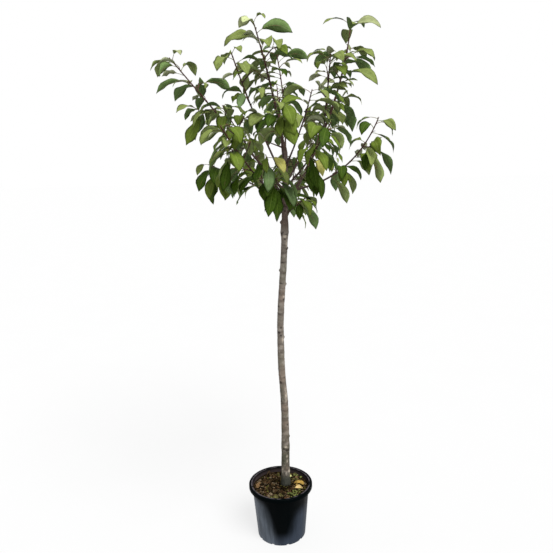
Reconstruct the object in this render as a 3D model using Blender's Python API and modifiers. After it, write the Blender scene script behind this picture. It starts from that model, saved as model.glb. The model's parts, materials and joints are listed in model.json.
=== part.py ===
"""A young half-standard bigarreau cherry tree in its nursery pot, in metres, +Z up.

The origin is the centre of the pot's flat underside, and the tree is looked at from -Y.
The crown is a handful of long shoots. Each shoot is a bare bough for its first part, and
past that the stem of a mass of leaves, which the growth rule below fills with short spurs
and drooping leaves inside the mass's own space.
"""

import math
import random
from collections import namedtuple

import bmesh
import bpy
import numpy as np

# Nursery pot: a moulded tub with a turned-down lip and drain notches round its foot
POT_HEIGHT = 0.240
POT_WALL = 0.002
POT_STEPS = 40
BASE_RADIUS = 0.106
WALL_TOP_RADIUS = 0.126
LIP_RADIUS = 0.140
LIP_HEIGHT = 0.016
LIP_ROUND = 0.0025
DRAINS = 10
DRAIN_WIDTH = 0.012
DRAIN_HEIGHT = 0.005
DRAIN_FIRST_TURN = math.radians(-40)

# Compost: flat round the trunk, and a little lower at the wall
SOIL_HEIGHT = 0.224
SOIL_EDGE_HEIGHT = 0.221
SOIL_FLAT_RADIUS = 0.060

# Trunk: a slight lean with one slow bend and a kink, a flare at its foot and two graft unions.
# Its line starts a little under the compost's top, where it is cut flat. A union is its
# height, how far it swells and how far that spreads.
TRUNK_START = 0.216
TRUNK_TOP = 1.680
TRUNK_FOOT_X = 0.022
TRUNK_TOP_X = 0.052
TRUNK_BEND = 0.020
BEND_HEIGHT = 0.95
BEND_SPREAD = 0.26
TRUNK_KINK = 0.0035
KINK_HEIGHT = 0.745
KINK_SPREAD = 0.10
TRUNK_SWAY = 0.012
TRUNK_FOOT_RADIUS = 0.0190
TRUNK_MIDDLE_RADIUS = 0.0147
TRUNK_MIDDLE_SHARE = 0.35
TRUNK_UNION_RADIUS = 0.0131
TRUNK_UNION_SHARE = 0.78
TRUNK_TOP_RADIUS = 0.0104
FLARE = 0.0035
FLARE_HEIGHT = 0.045
LOW_UNION = (0.416, 0.0012, 0.022)
HIGH_UNION = (1.365, 0.0033, 0.034)
CROWN_HEIGHT = 1.40
LOWEST_LEAF = 1.20
TRUNK_SECTIONS = 26
TRUNK_ROUNDNESS = 4
LOW_SECTIONS_BIAS = 1.15

# The gap that touching pieces keep
GAP = 0.0003

# Every shoot, bough and leafy stem together: its foot is a height on the trunk or a share of
# its parent, bow is how far its middle stands off the straight line, and bare is the bough's share
Shoot = namedtuple("Shoot", "name parent foot tip bow thick thin bare spurs seed")
SHOOTS = (
    Shoot("leader", "trunk", 1.672, (-0.055, -0.04, 2.145), (0.005, 0, 0.010), 0.0068, 0.0024, 0.24, 3, 73),
    Shoot("upright", "trunk", 1.640, (0.025, 0.09, 2.075), (0.015, 0.02, 0), 0.0042, 0.0022, 0.28, 3, 86),
    Shoot("left_long", "trunk", 1.517, (-0.361, -0.10, 2.015), (-0.010, 0, 0.010), 0.0060, 0.0024, 0.25, 5, 75),
    Shoot("left_middle", "trunk", 1.557, (-0.130, -0.20, 2.010), (-0.015, 0, 0.015), 0.0050, 0.0024, 0.25, 4, 87),
    Shoot("left_low", "trunk", 1.478, (-0.260, 0.10, 1.630), (-0.005, 0, 0.010), 0.0045, 0.0022, 0.35, 2, 89),
    Shoot("right_low", "right", 0.10, (0.397, -0.12, 1.785), (0.035, 0, -0.045), 0.0050, 0.0024, 0.30, 2, 46),
    Shoot("right", "trunk", 1.458, (0.320, 0.06, 2.155), (0.045, 0, -0.005), 0.0090, 0.0024, 0.47, 3, 47),
    Shoot("right_fork", "right", 0.42, (0.228, -0.06, 2.025), (0.002, 0, 0.004), 0.0050, 0.0024, 0.25, 2, 11),
    Shoot("right_middle", "trunk", 1.611, (0.150, -0.16, 1.885), (0.010, 0, 0.005), 0.0045, 0.0022, 0.28, 3, 93),
    Shoot("front", "trunk", 1.590, (0.030, -0.35, 1.840), (0, -0.02, -0.020), 0.0050, 0.0024, 0.28, 4, 115),
    Shoot("front_left", "trunk", 1.462, (-0.170, -0.31, 1.760), (0, -0.02, -0.020), 0.0050, 0.0024, 0.28, 4, 70),
    Shoot("front_right", "trunk", 1.537, (0.200, -0.32, 1.760), (0, -0.02, -0.020), 0.0050, 0.0024, 0.28, 4, 25),
    Shoot("front_low", "trunk", 1.438, (-0.020, -0.26, 1.660), (0, -0.02, -0.010), 0.0045, 0.0022, 0.30, 2, 107),
    Shoot("back", "trunk", 1.580, (0.030, 0.35, 1.960), (0, 0.02, -0.020), 0.0050, 0.0024, 0.28, 4, 73),
    Shoot("back_left", "trunk", 1.497, (-0.210, 0.30, 1.880), (0, 0.02, -0.020), 0.0050, 0.0024, 0.28, 4, 44),
    Shoot("back_right", "trunk", 1.550, (0.255, 0.29, 1.890), (0, 0.02, -0.020), 0.0050, 0.0024, 0.28, 4, 52),
    Shoot("back_low", "trunk", 1.428, (0.110, 0.31, 1.650), (0, 0.02, -0.015), 0.0045, 0.0022, 0.30, 3, 4),
    Shoot("heart", "trunk", 1.425, (0.125, -0.020, 1.490), (0, 0, 0), 0.0035, 0.0022, 0.0, 1, 64),
)
LINE_POINTS = 13
BOUGH_SECTIONS = 5
STEM_SECTIONS = 7
BOUGH_ROUNDNESS = 1

# The last piece before a joint and the first after it are this short, so that both ends face squarely
JOINT_SHARE = 0.012

# No twig grows this way, so a side direction can be taken across it
ASIDE = (0.3, 0.2, 1.0)

# Edges sharper than this, in degrees, stay sharp
LIMB_SHARP = 50
LEAF_SHARP = 35

# Leaves and the short spurs on the inner part of each stem
LEAF_TURN = math.radians(137.5)
LEAF_SPACING = 0.046
TIP_SPACING = 0.009
TIP_OPENING = 1.3
TIP_CLEAR = 0.003
FOOT_CLEAR = 0.012
TIP_SIZES = (0.66, 0.80, 0.90, 1.0, 1.0)
LEAF_LENGTH = 0.108
LEAF_WIDTH = 0.41
LEAF_THICKNESS = 0.0022
PETIOLE_LENGTH = 0.028
PETIOLE_RADIUS = 0.0013
FOLD = math.radians(24)
LEAF_LEAN = 0.95
SPUR_LENGTH = 0.045
SPUR_LENGTH_RANGE = (0.7, 1.5)
SPUR_LEAN = 1.0
SPUR_START = 0.25
SPUR_SPAN = 0.68
SPUR_LEAVES = 5
SPUR_SPACING = 0.006
SPUR_RADII = (0.0026, 0.0018)
TRIES = 10

# Cross-sections of a blade: how far along it, and how much of the half width there
BLADE_SECTIONS = ((0.32, 0.98), (0.70, 0.74))

# How leaves differ: size, angles in radians, and how much more steeply those in the shade hang
LEAF_SIZE_RANGE = (0.82, 1.15)
WIDTH_RANGE = (0.9, 1.1)
PETIOLE_RANGE = (0.8, 1.2)
HEADING_SPREAD = 0.3
RISE_LIFT = 0.25
RISE_MOST = 1.0
RISE_SPREAD = 0.2
FALL_RANGE = (math.radians(-62), math.radians(-38))
ROLL_SPREAD = math.radians(28)
SHADE_RISE = 0.4
SHADE_FALL = math.radians(28)
BRIGHT_HEIGHT = 2.10
SHADE_HEIGHT = 1.62

# How far the outer three quarters of a blade keep from other masses, leaves and limbs, and the
# rest of the leaf from the limbs
SPACE_MARGIN = 0.003
LEAF_CLEAR = 0.012
LIMB_CLEAR = 0.008
ROOT_CLEAR = 0.003
INNER_BLADE = 0.25

Leaf = namedtuple("Leaf", "root heading rise fall roll petiole length width")
Twig = namedtuple("Twig", "points thick thin")


# The growth rule, in numbers alone


def unit(vector):
    return vector / np.linalg.norm(vector)


def trunk_point(height):
    """The trunk's axis at a height: its lean, its bend with a kink, and a small sway in depth."""
    share = (height - TRUNK_START) / (TRUNK_TOP - TRUNK_START)
    bend = TRUNK_BEND * math.exp(-(((height - BEND_HEIGHT) / BEND_SPREAD) ** 2))
    bend += TRUNK_KINK * math.exp(-(((height - KINK_HEIGHT) / KINK_SPREAD) ** 2))
    x = TRUNK_FOOT_X + (TRUNK_TOP_X - TRUNK_FOOT_X) * share - bend
    return np.array((x, TRUNK_SWAY * math.sin(math.pi * share), height))


def foot_point(shoot):
    if shoot.parent == "trunk":
        return trunk_point(shoot.foot)
    parent = next(other for other in SHOOTS if other.name == shoot.parent)
    return shoot_point(parent, shoot.foot)


def shoot_point(shoot, share):
    """A point on the shoot's axis, share 0 at its foot and 1 at its tip."""
    foot = foot_point(shoot)
    return foot + (np.array(shoot.tip) - foot) * share + np.array(shoot.bow) * 4 * share * (1 - share)


def shoot_line(shoot, shares):
    return np.array([shoot_point(shoot, share) for share in shares])


def pieces_of(lines):
    """Starts and runs of the straight pieces that make up these lines."""
    starts = np.vstack([line[:-1] for line in lines])
    return starts, np.vstack([np.diff(line, axis=0) for line in lines])


def distances(points, pieces):
    """The distance from each point to each straight piece."""
    starts, runs = pieces
    offsets = points[:, None] - starts
    shares = np.clip((offsets * runs).sum(2) / (runs**2).sum(1), 0, 1)
    return np.linalg.norm(offsets - runs * shares[..., None], axis=2)


def length_of(line):
    return np.linalg.norm(np.diff(line, axis=0), axis=1).sum()


def place_on(line, back):
    """The point this far back from a line's end, and the direction of growth there."""
    runs = np.diff(line, axis=0)
    ends = np.concatenate(([0], np.cumsum(np.linalg.norm(runs, axis=1))))
    at = ends[-1] - back
    index = min(max(int(np.searchsorted(ends, at, side="right")) - 1, 0), len(runs) - 1)
    share = (at - ends[index]) / (ends[index + 1] - ends[index])
    return line[index] + runs[index] * share, unit(runs[index])


def outward(ahead, turn, lean):
    """A direction that leans out from the direction of growth, at a turn round it."""
    first = unit(np.cross(ahead, ASIDE))
    around = math.cos(turn) * first + math.sin(turn) * np.cross(ahead, first)
    return unit(math.cos(lean) * ahead + math.sin(lean) * around)


def leaf_line(leaf, shares):
    """Points, sides and upper normals of the midrib, at shares of petiole and blade together.

    The midrib is an arc in an upright plane, from its rise at the root to its fall at the tip.
    """
    steps = 24
    along = np.array((math.cos(leaf.heading), math.sin(leaf.heading), 0))
    up = np.array((0, 0, 1))

    def ahead_at(places):
        angles = leaf.rise + (leaf.fall - leaf.rise) * np.asarray(places)
        return np.cos(angles)[:, None] * along + np.sin(angles)[:, None] * up

    run = (leaf.petiole + leaf.length) / steps
    middles = (np.arange(steps) + 0.5) / steps
    spine = np.vstack((np.zeros(3), np.cumsum(ahead_at(middles), axis=0))) * run
    places = np.linspace(0, 1, steps + 1)
    offsets = np.stack([np.interp(shares, places, spine[:, axis]) for axis in range(3)], axis=1)
    ahead = ahead_at(shares)
    level = np.array((-along[1], along[0], 0))
    sides = math.cos(leaf.roll) * level + math.sin(leaf.roll) * np.cross(ahead, level)
    return leaf.root + offsets, sides, np.cross(ahead, sides)


def leaf_samples(leaf):
    """Points over the outer three quarters of the blade, which keep clear of everything."""
    before_tip = np.array((0.75, 0.5, 0.25, 0))
    half_shares = np.array((0.85, 1.0, 0.65, 0))
    shares = 1 - leaf.length / (leaf.length + leaf.petiole) * before_tip
    halves = leaf.width / 2 * half_shares[:, None]
    points, sides, normals = leaf_line(leaf, shares)
    out = halves * math.cos(FOLD) * sides
    lift = halves * math.sin(FOLD) * normals
    return np.vstack((points, (points + out + lift)[:3], (points - out + lift)[:3]))


def root_samples(leaf):
    """Points along the petiole and the first quarter of the midrib."""
    inner = (leaf.petiole + leaf.length * INNER_BLADE) / (leaf.petiole + leaf.length)
    return leaf_line(leaf, np.linspace(0, inner, 5))[0]


def new_leaf(line, back, turn, size, rng):
    """A leaf at a place on its twig. Low in the crown, in the shade, leaves hang more steeply."""
    root, ahead = place_on(line, back)
    start = outward(ahead, turn, LEAF_LEAN)
    shade = min(max((BRIGHT_HEIGHT - root[2]) / (BRIGHT_HEIGHT - SHADE_HEIGHT), 0), 1)
    length = LEAF_LENGTH * size * rng.uniform(*LEAF_SIZE_RANGE)
    rise = min(math.asin(start[2]) + RISE_LIFT, RISE_MOST) - SHADE_RISE * shade
    return Leaf(
        root=root,
        heading=math.atan2(start[1], start[0]) + rng.uniform(-HEADING_SPREAD, HEADING_SPREAD),
        rise=rise + rng.uniform(-RISE_SPREAD, RISE_SPREAD),
        fall=rng.uniform(*FALL_RANGE) - SHADE_FALL * shade,
        roll=rng.uniform(-ROLL_SPREAD, ROLL_SPREAD),
        petiole=PETIOLE_LENGTH * rng.uniform(*PETIOLE_RANGE),
        length=length,
        width=length * LEAF_WIDTH * rng.uniform(*WIDTH_RANGE),
    )


class Crown:
    """The axes that leaves keep clear of, and the stem that each mass grows from."""

    def __init__(self):
        shares = np.linspace(0, 1, LINE_POINTS)
        self.stems = {
            shoot.name: shoot_line(shoot, shoot.bare + (1 - shoot.bare) * shares) for shoot in SHOOTS
        }
        heights = np.linspace(LOWEST_LEAF, TRUNK_TOP, LINE_POINTS)
        limbs = [(np.array([trunk_point(height) for height in heights]), trunk_radius(CROWN_HEIGHT))]
        limbs += [(shoot_line(shoot, shoot.bare * shares), shoot.thick) for shoot in SHOOTS if shoot.bare]
        self.limbs = pieces_of([line for line, _ in limbs])
        self.radii = np.repeat([radius for _, radius in limbs], LINE_POINTS - 1)

    def has_room(self, name, points):
        """Whether points lie in the mass's own space, nearest to its own stem, and off the limbs."""
        own = distances(points, pieces_of([self.stems[name]])).min(1)
        others = pieces_of([stem for other, stem in self.stems.items() if other != name])
        if (distances(points, others).min(1) < own + SPACE_MARGIN).any():
            return False
        return self.off_limbs(points, LIMB_CLEAR)

    def off_limbs(self, points, clear):
        return (distances(points, self.limbs) - self.radii).min() > clear


def spur_twigs(shoot, stem, crown, rng):
    """Short side twigs on the inner part of the stem, each at its own turn round it."""
    length = length_of(stem.points)
    turn = rng.uniform(0, 2 * math.pi)
    twigs = []
    for number in range(shoot.spurs):
        back = length * (SPUR_START + SPUR_SPAN * (number + rng.random()) / shoot.spurs)
        foot, ahead = place_on(stem.points, back)
        for _ in range(TRIES):
            turn += LEAF_TURN
            run = outward(ahead, turn, SPUR_LEAN) * SPUR_LENGTH * rng.uniform(*SPUR_LENGTH_RANGE)
            line = foot + run * np.linspace(0, 1, 4)[:, None]
            if crown.has_room(shoot.name, line[2:] + unit(run) * LIMB_CLEAR):
                twigs.append(Twig(line, *SPUR_RADII))
                break
    return twigs


def leaf_places(line, is_stem):
    """How far back from the tip each leaf stands, with the size of its blade."""
    length = length_of(line)
    if not is_stem:
        places = [(TIP_CLEAR + SPUR_SPACING * number, 1.0) for number in range(SPUR_LEAVES)]
        return [place for place in places if place[0] < length - FOOT_CLEAR]
    places = [
        (TIP_CLEAR + TIP_SPACING * number**TIP_OPENING, size) for number, size in enumerate(TIP_SIZES)
    ]
    while places[-1][0] + LEAF_SPACING < length - FOOT_CLEAR:
        places.append((places[-1][0] + LEAF_SPACING, 1.0))
    return places


def grow_mass(shoot, crown):
    """The twigs and leaves of one mass. A leaf without room tries other turns, and is then skipped."""
    rng = random.Random(shoot.seed)
    stem = Twig(crown.stems[shoot.name], radius_at(shoot, shoot.bare), shoot.thin)
    twigs = [stem] + spur_twigs(shoot, stem, crown, rng)
    own = pieces_of([twig.points for twig in twigs])
    turn = rng.uniform(0, 2 * math.pi)
    leaves = []
    taken = np.empty((0, 3))
    for twig in twigs:
        for back, size in leaf_places(twig.points, twig is stem):
            for _ in range(TRIES):
                turn += LEAF_TURN
                leaf = new_leaf(twig.points, back, turn, size, rng)
                points = leaf_samples(leaf)
                if (
                    distances(points, own).min() > stem.thick + LIMB_CLEAR
                    and np.linalg.norm(points[:, None] - taken, axis=2).min(initial=1) > LEAF_CLEAR
                    and crown.off_limbs(root_samples(leaf), ROOT_CLEAR)
                    and crown.has_room(shoot.name, points)
                ):
                    leaves.append(leaf)
                    taken = np.vstack((taken, points))
                    break
    return twigs, leaves


def trunk_radius(height):
    """The trunk's taper, with its flare and the swelling of each graft union."""
    share = (height - TRUNK_START) / (TRUNK_TOP - TRUNK_START)
    shares = (0, TRUNK_MIDDLE_SHARE, TRUNK_UNION_SHARE, 1)
    radii = (TRUNK_FOOT_RADIUS, TRUNK_MIDDLE_RADIUS, TRUNK_UNION_RADIUS, TRUNK_TOP_RADIUS)
    radius = np.interp(share, shares, radii)
    radius += FLARE * math.exp(-max(height - SOIL_HEIGHT, 0) / FLARE_HEIGHT)
    for middle, swelling, spread in (LOW_UNION, HIGH_UNION):
        radius += swelling * math.exp(-(((height - middle) / spread) ** 2))
    return float(radius)


def radius_at(shoot, share):
    return shoot.thick + (shoot.thin - shoot.thick) * share


# Blender's own work: meshes, objects and materials


def principled(name, color, roughness):
    material = bpy.data.materials.new(name)
    material.use_nodes = True
    shader = material.node_tree.nodes["Principled BSDF"]
    shader.inputs["Base Color"].default_value = (*color, 1)
    shader.inputs["Roughness"].default_value = roughness
    shader.inputs["Metallic"].default_value = 0
    material.diffuse_color = (*color, 1)
    return material


def new_collection(name):
    collection = bpy.data.collections.new(name)
    bpy.context.scene.collection.children.link(collection)
    return collection


def add_object(name, mesh, collection, material=None):
    obj = bpy.data.objects.new(name, mesh)
    collection.objects.link(obj)
    if material:
        mesh.materials.append(material)
    return obj


def finish_mesh(mesh, sharp_degrees):
    mesh.shade_smooth()
    mesh.set_sharp_from_angle(angle=math.radians(sharp_degrees))


def evaluated_mesh(obj):
    bpy.context.view_layer.update()
    graph = bpy.context.evaluated_depsgraph_get()
    return bpy.data.meshes.new_from_object(obj.evaluated_get(graph))


def turned(name, profile, collection, material):
    """A profile of (radius, height) points, from the axis down the outer side and back to the axis."""
    work = bmesh.new()
    verts = [work.verts.new((radius, 0, height)) for radius, height in profile]
    for first, second in zip(verts, verts[1:]):
        work.edges.new((first, second))
    mesh = bpy.data.meshes.new(name)
    work.to_mesh(mesh)
    work.free()
    obj = add_object(name, mesh, collection, material)
    screw = obj.modifiers.new("turn", "SCREW")
    screw.steps = screw.render_steps = POT_STEPS
    screw.use_merge_vertices = True
    screw.merge_threshold = 0.0001
    screw.use_smooth_shade = True
    return obj


def tube(name, points, radii, detail, collection, material=None):
    """A tapering limb: a curve with a radius at each point, made a mesh so that it can be cut."""
    data = bpy.data.curves.new(name, "CURVE")
    data.dimensions = "3D"
    data.bevel_depth = 1.0
    data.bevel_resolution = detail
    data.use_fill_caps = True
    spline = data.splines.new("POLY")
    spline.points.add(len(points) - 1)
    for place, point, radius in zip(spline.points, points, radii):
        place.co = (*point, 1)
        place.radius = radius
    curve = bpy.data.objects.new(name + "_curve", data)
    collection.objects.link(curve)
    mesh = evaluated_mesh(curve)
    work = bmesh.new()
    work.from_mesh(mesh)
    bmesh.ops.remove_doubles(work, verts=work.verts, dist=1e-6)
    bmesh.ops.recalc_face_normals(work, faces=work.faces)
    work.to_mesh(mesh)
    work.free()
    mesh.name = name
    obj = add_object(name, mesh, collection, material)
    obj.matrix_world = curve.matrix_world
    bpy.data.objects.remove(curve)
    finish_mesh(mesh, LIMB_SHARP)
    return obj


def keep_largest_shell(mesh):
    """Drops every smaller shell of a join: it is loose scrap, or the wall of a sealed hollow."""
    work = bmesh.new()
    work.from_mesh(mesh)
    left = set(work.verts)
    shells = []
    while left:
        shell = [left.pop()]
        for vert in shell:
            near = {edge.other_vert(vert) for edge in vert.link_edges} & left
            left -= near
            shell.extend(near)
        shells.append(shell)
    shells.sort(key=len)
    for shell in shells[:-1]:
        bmesh.ops.delete(work, geom=shell, context="VERTS")
    work.to_mesh(mesh)
    work.free()


def subtract(obj, cutter):
    cut = obj.modifiers.new("clear of " + cutter.name, "BOOLEAN")
    cut.operation = "DIFFERENCE"
    cut.solver = "EXACT"
    cut.object = cutter


def hide_cutter(obj):
    obj.hide_render = True
    obj.display_type = "WIRE"


def make_pot(parts, cutters, material):
    """The pot's wall, its turned-down lip and its floor as one turned section, then the notches."""
    inner_base = BASE_RADIUS - POT_WALL
    inner_top = WALL_TOP_RADIUS - POT_WALL
    lip_foot = POT_HEIGHT - LIP_HEIGHT
    profile = (
        (0, POT_WALL),
        (inner_base, POT_WALL),
        (inner_top, POT_HEIGHT - LIP_ROUND),
        (inner_top + LIP_ROUND, POT_HEIGHT),
        (LIP_RADIUS - LIP_ROUND, POT_HEIGHT),
        (LIP_RADIUS, POT_HEIGHT - LIP_ROUND),
        (LIP_RADIUS, lip_foot),
        (LIP_RADIUS - POT_WALL, lip_foot),
        (LIP_RADIUS - POT_WALL, POT_HEIGHT - LIP_ROUND - POT_WALL),
        (WALL_TOP_RADIUS, POT_HEIGHT - LIP_ROUND - POT_WALL),
        (BASE_RADIUS, 0),
        (0, 0),
    )
    pot = turned("pot", profile, parts, material)
    work = bmesh.new()
    for number in range(DRAINS):
        box = bmesh.ops.create_cube(work, size=1)["verts"]
        bmesh.ops.scale(work, verts=box, vec=(DRAIN_WIDTH, DRAIN_WIDTH, 2 * DRAIN_HEIGHT))
        bmesh.ops.translate(work, verts=box, vec=(BASE_RADIUS, 0, 0))
        turn = DRAIN_FIRST_TURN + 2 * math.pi * number / DRAINS
        cos, sin = math.cos(turn), math.sin(turn)
        for vert in box:
            vert.co.xy = (vert.co.x * cos - vert.co.y * sin, vert.co.x * sin + vert.co.y * cos)
    mesh = bpy.data.meshes.new("drain_notches")
    work.to_mesh(mesh)
    work.free()
    notches = add_object("drain_notches", mesh, cutters)
    hide_cutter(notches)
    subtract(pot, notches)
    return pot


def make_compost(parts, material):
    """The compost fills the pot, the touching gap clear of its wall and floor."""

    def wall_at(height):
        share = (height - POT_WALL) / (POT_HEIGHT - LIP_ROUND - POT_WALL)
        return BASE_RADIUS - POT_WALL + (WALL_TOP_RADIUS - BASE_RADIUS) * share - GAP

    floor = POT_WALL + GAP
    middle_radius = (SOIL_FLAT_RADIUS + WALL_TOP_RADIUS) / 2
    profile = (
        (0, SOIL_HEIGHT),
        (SOIL_FLAT_RADIUS, SOIL_HEIGHT),
        (middle_radius, (2 * SOIL_HEIGHT + SOIL_EDGE_HEIGHT) / 3),
        (wall_at(SOIL_EDGE_HEIGHT), SOIL_EDGE_HEIGHT),
        (wall_at(floor), floor),
        (0, floor),
    )
    return turned("compost", profile, parts, material)


def make_trunk(name, extra, collection, material=None):
    """The trunk from its flat cut on the compost to its fork. A cutter's is larger by extra."""
    heights = np.linspace(0, 1, TRUNK_SECTIONS) ** LOW_SECTIONS_BIAS
    heights = SOIL_HEIGHT - FOOT_CLEAR + heights * (TRUNK_TOP - SOIL_HEIGHT + FOOT_CLEAR)
    points = [trunk_point(height) for height in heights]
    points[-1] = points[-1] + extra * unit(points[-1] - points[-2])
    radii = [trunk_radius(height) + extra for height in heights]
    trunk = tube(name, points, radii, TRUNK_ROUNDNESS, collection, material)
    work = bmesh.new()
    work.from_mesh(trunk.data)
    bmesh.ops.bisect_plane(
        work,
        geom=work.verts[:] + work.edges[:] + work.faces[:],
        plane_co=(0, 0, SOIL_HEIGHT + GAP - extra),
        plane_no=(0, 0, -1),
        clear_outer=True,
    )
    bmesh.ops.holes_fill(work, edges=[edge for edge in work.edges if edge.is_boundary])
    work.to_mesh(trunk.data)
    work.free()
    return trunk


def make_bough(shoot, extra, name, collection, material=None):
    """The bare first part of a shoot, from inside what carries it to the foot of its mass."""
    shares = [*np.linspace(0, shoot.bare - JOINT_SHARE, BOUGH_SECTIONS - 1), shoot.bare]
    radii = [radius_at(shoot, share) + extra for share in shares]
    return tube(name, shoot_line(shoot, shares), radii, BOUGH_ROUNDNESS, collection, material)


def leaf_mesh(leaf):
    """A folded blade on its petiole: a loft through two three-sided and two four-sided sections."""
    blade = leaf.length / (leaf.length + leaf.petiole)
    shares = [0, 1 - blade, *(1 - blade + along * blade for along, _ in BLADE_SECTIONS), 1]
    points, sides, normals = leaf_line(leaf, shares)
    work = bmesh.new()
    rings = []
    for index in (0, 1):
        corners = [
            points[index] + PETIOLE_RADIUS * (math.cos(turn) * sides[index] + math.sin(turn) * normals[index])
            for turn in (math.radians(30), math.radians(150), math.radians(270))
        ]
        rings.append([work.verts.new(corner) for corner in corners])
    for index, (_, half_share) in enumerate(BLADE_SECTIONS, start=2):
        half = leaf.width / 2 * half_share
        out = half * math.cos(FOLD) * sides[index]
        lift = half * math.sin(FOLD) * normals[index]
        thick = LEAF_THICKNESS / 2 * normals[index]
        corners = (
            points[index] + out + lift,
            points[index] + thick,
            points[index] - out + lift,
            points[index] - thick,
        )
        rings.append([work.verts.new(corner) for corner in corners])
    tip = work.verts.new(points[4])
    root, base, wide, narrow = rings
    work.faces.new(root[::-1])
    for index in range(3):
        following = (index + 1) % 3
        work.faces.new((root[index], root[following], base[following]))
        work.faces.new((root[index], base[following], base[index]))
    right, left, keel = base
    for corners in (
        (right, left, wide[1]),
        (right, wide[1], wide[0]),
        (left, wide[2], wide[1]),
        (left, keel, wide[2]),
        (keel, wide[3], wide[2]),
        (keel, wide[0], wide[3]),
        (keel, right, wide[0]),
    ):
        work.faces.new(corners)
    for index in range(4):
        following = (index + 1) % 4
        work.faces.new((wide[index], wide[following], narrow[following]))
        work.faces.new((wide[index], narrow[following], narrow[index]))
        work.faces.new((narrow[index], narrow[following], tip))
    bmesh.ops.recalc_face_normals(work, faces=work.faces)
    mesh = bpy.data.meshes.new("leaf")
    work.to_mesh(mesh)
    work.free()
    return mesh


def spur_mesh(twig):
    """A short three-sided side twig, from the stem's axis to its own tip."""
    foot, tip = twig.points[0], twig.points[-1]
    ahead = unit(tip - foot)
    first = unit(np.cross(ahead, ASIDE))
    second = np.cross(ahead, first)
    work = bmesh.new()
    bmesh.ops.create_cone(
        work,
        segments=3,
        radius1=twig.thick,
        radius2=twig.thin,
        depth=length_of(twig.points),
        cap_ends=True,
    )
    for vert in work.verts:
        vert.co = (foot + tip) / 2 + vert.co.x * first + vert.co.y * second + vert.co.z * ahead
    mesh = bpy.data.meshes.new("spur")
    work.to_mesh(mesh)
    work.free()
    return mesh


def make_mass(shoot, crown, parts, material):
    """The leafy rest of a shoot: stem, spurs and leaves joined into one solid."""
    twigs, leaves = grow_mass(shoot, crown)
    whole = length_of(shoot_line(shoot, np.linspace(0, 1, LINE_POINTS)))
    start = shoot.bare + (GAP / whole if shoot.bare else 0)
    shares = [start, start + JOINT_SHARE, *np.linspace(start, 1, STEM_SECTIONS)[1:]]
    radii = [radius_at(shoot, share) for share in shares]
    name = "leaves_" + shoot.name
    mass = tube(name, shoot_line(shoot, shares), radii, BOUGH_ROUNDNESS, parts, material)
    pieces = new_collection(name + "_pieces")
    for twig in twigs[1:]:
        add_object("spur", spur_mesh(twig), pieces)
    for leaf in leaves:
        add_object("leaf", leaf_mesh(leaf), pieces)
    join = mass.modifiers.new("join", "BOOLEAN")
    join.operation = "UNION"
    join.operand_type = "COLLECTION"
    join.collection = pieces
    join.solver = "EXACT"
    joined = evaluated_mesh(mass)
    joined.name = name
    mass.modifiers.remove(join)
    mass.data = joined
    joined.materials.clear()
    joined.materials.append(material)
    for obj in list(pieces.objects):
        bpy.data.objects.remove(obj)
    bpy.data.collections.remove(pieces)
    keep_largest_shell(joined)
    finish_mesh(joined, LEAF_SHARP)
    return mass, len(leaves)


def main():
    for obj in list(bpy.data.objects):
        bpy.data.objects.remove(obj)
    parts = new_collection("potted_cherry_tree")
    cutters = new_collection("cutters")
    plastic = principled("black plastic", (0.012, 0.014, 0.018), 0.38)
    compost = principled("compost", (0.055, 0.035, 0.022), 0.95)
    bark = principled("bark", (0.19, 0.16, 0.13), 0.85)
    young_bark = principled("young bark", (0.07, 0.03, 0.025), 0.55)
    foliage = principled("foliage", (0.09, 0.17, 0.04), 0.5)

    make_pot(parts, cutters, plastic)
    make_compost(parts, compost)
    make_trunk("trunk", 0, parts, bark)
    clearances = {"trunk": make_trunk("trunk_clearance", GAP, cutters)}
    for shoot in SHOOTS:
        if any(other.parent == shoot.name for other in SHOOTS):
            name = "bough_" + shoot.name + "_clearance"
            clearances[shoot.name] = make_bough(shoot, GAP, name, cutters)
    for cutter in clearances.values():
        hide_cutter(cutter)

    crown = Crown()
    total = 0
    for shoot in SHOOTS:
        if shoot.bare:
            bough = make_bough(shoot, 0, "bough_" + shoot.name, parts, young_bark)
            subtract(bough, clearances[shoot.parent])
        mass, leaves = make_mass(shoot, crown, parts, foliage)
        if not shoot.bare:
            subtract(mass, clearances[shoot.parent])
        total += leaves
        print(mass.name, leaves, "leaves")
    print(total, "leaves in all")


main()
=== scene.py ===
# %% [markdown]
# # A potted bigarreau cherry, leaf by leaf
#
# The real thing is a young half-standard cherry tree as a nursery sells it: one clean trunk,
# grafted low and again at the height of the crown, an open head of long shoots with drooping
# leaves, and a black plastic pot of bark compost.
#
# The packed CAD model is the frame. Its limbs, leaves and pot are right in size and place, but
# plain. Each is replaced here by a piece with the real one's surface, in the same place.

# %% Load the frame
import json
import math
import random
from collections import namedtuple

import bmesh
import bpy
import numpy as np
from mathutils import Euler, Matrix, Vector, noise

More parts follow.
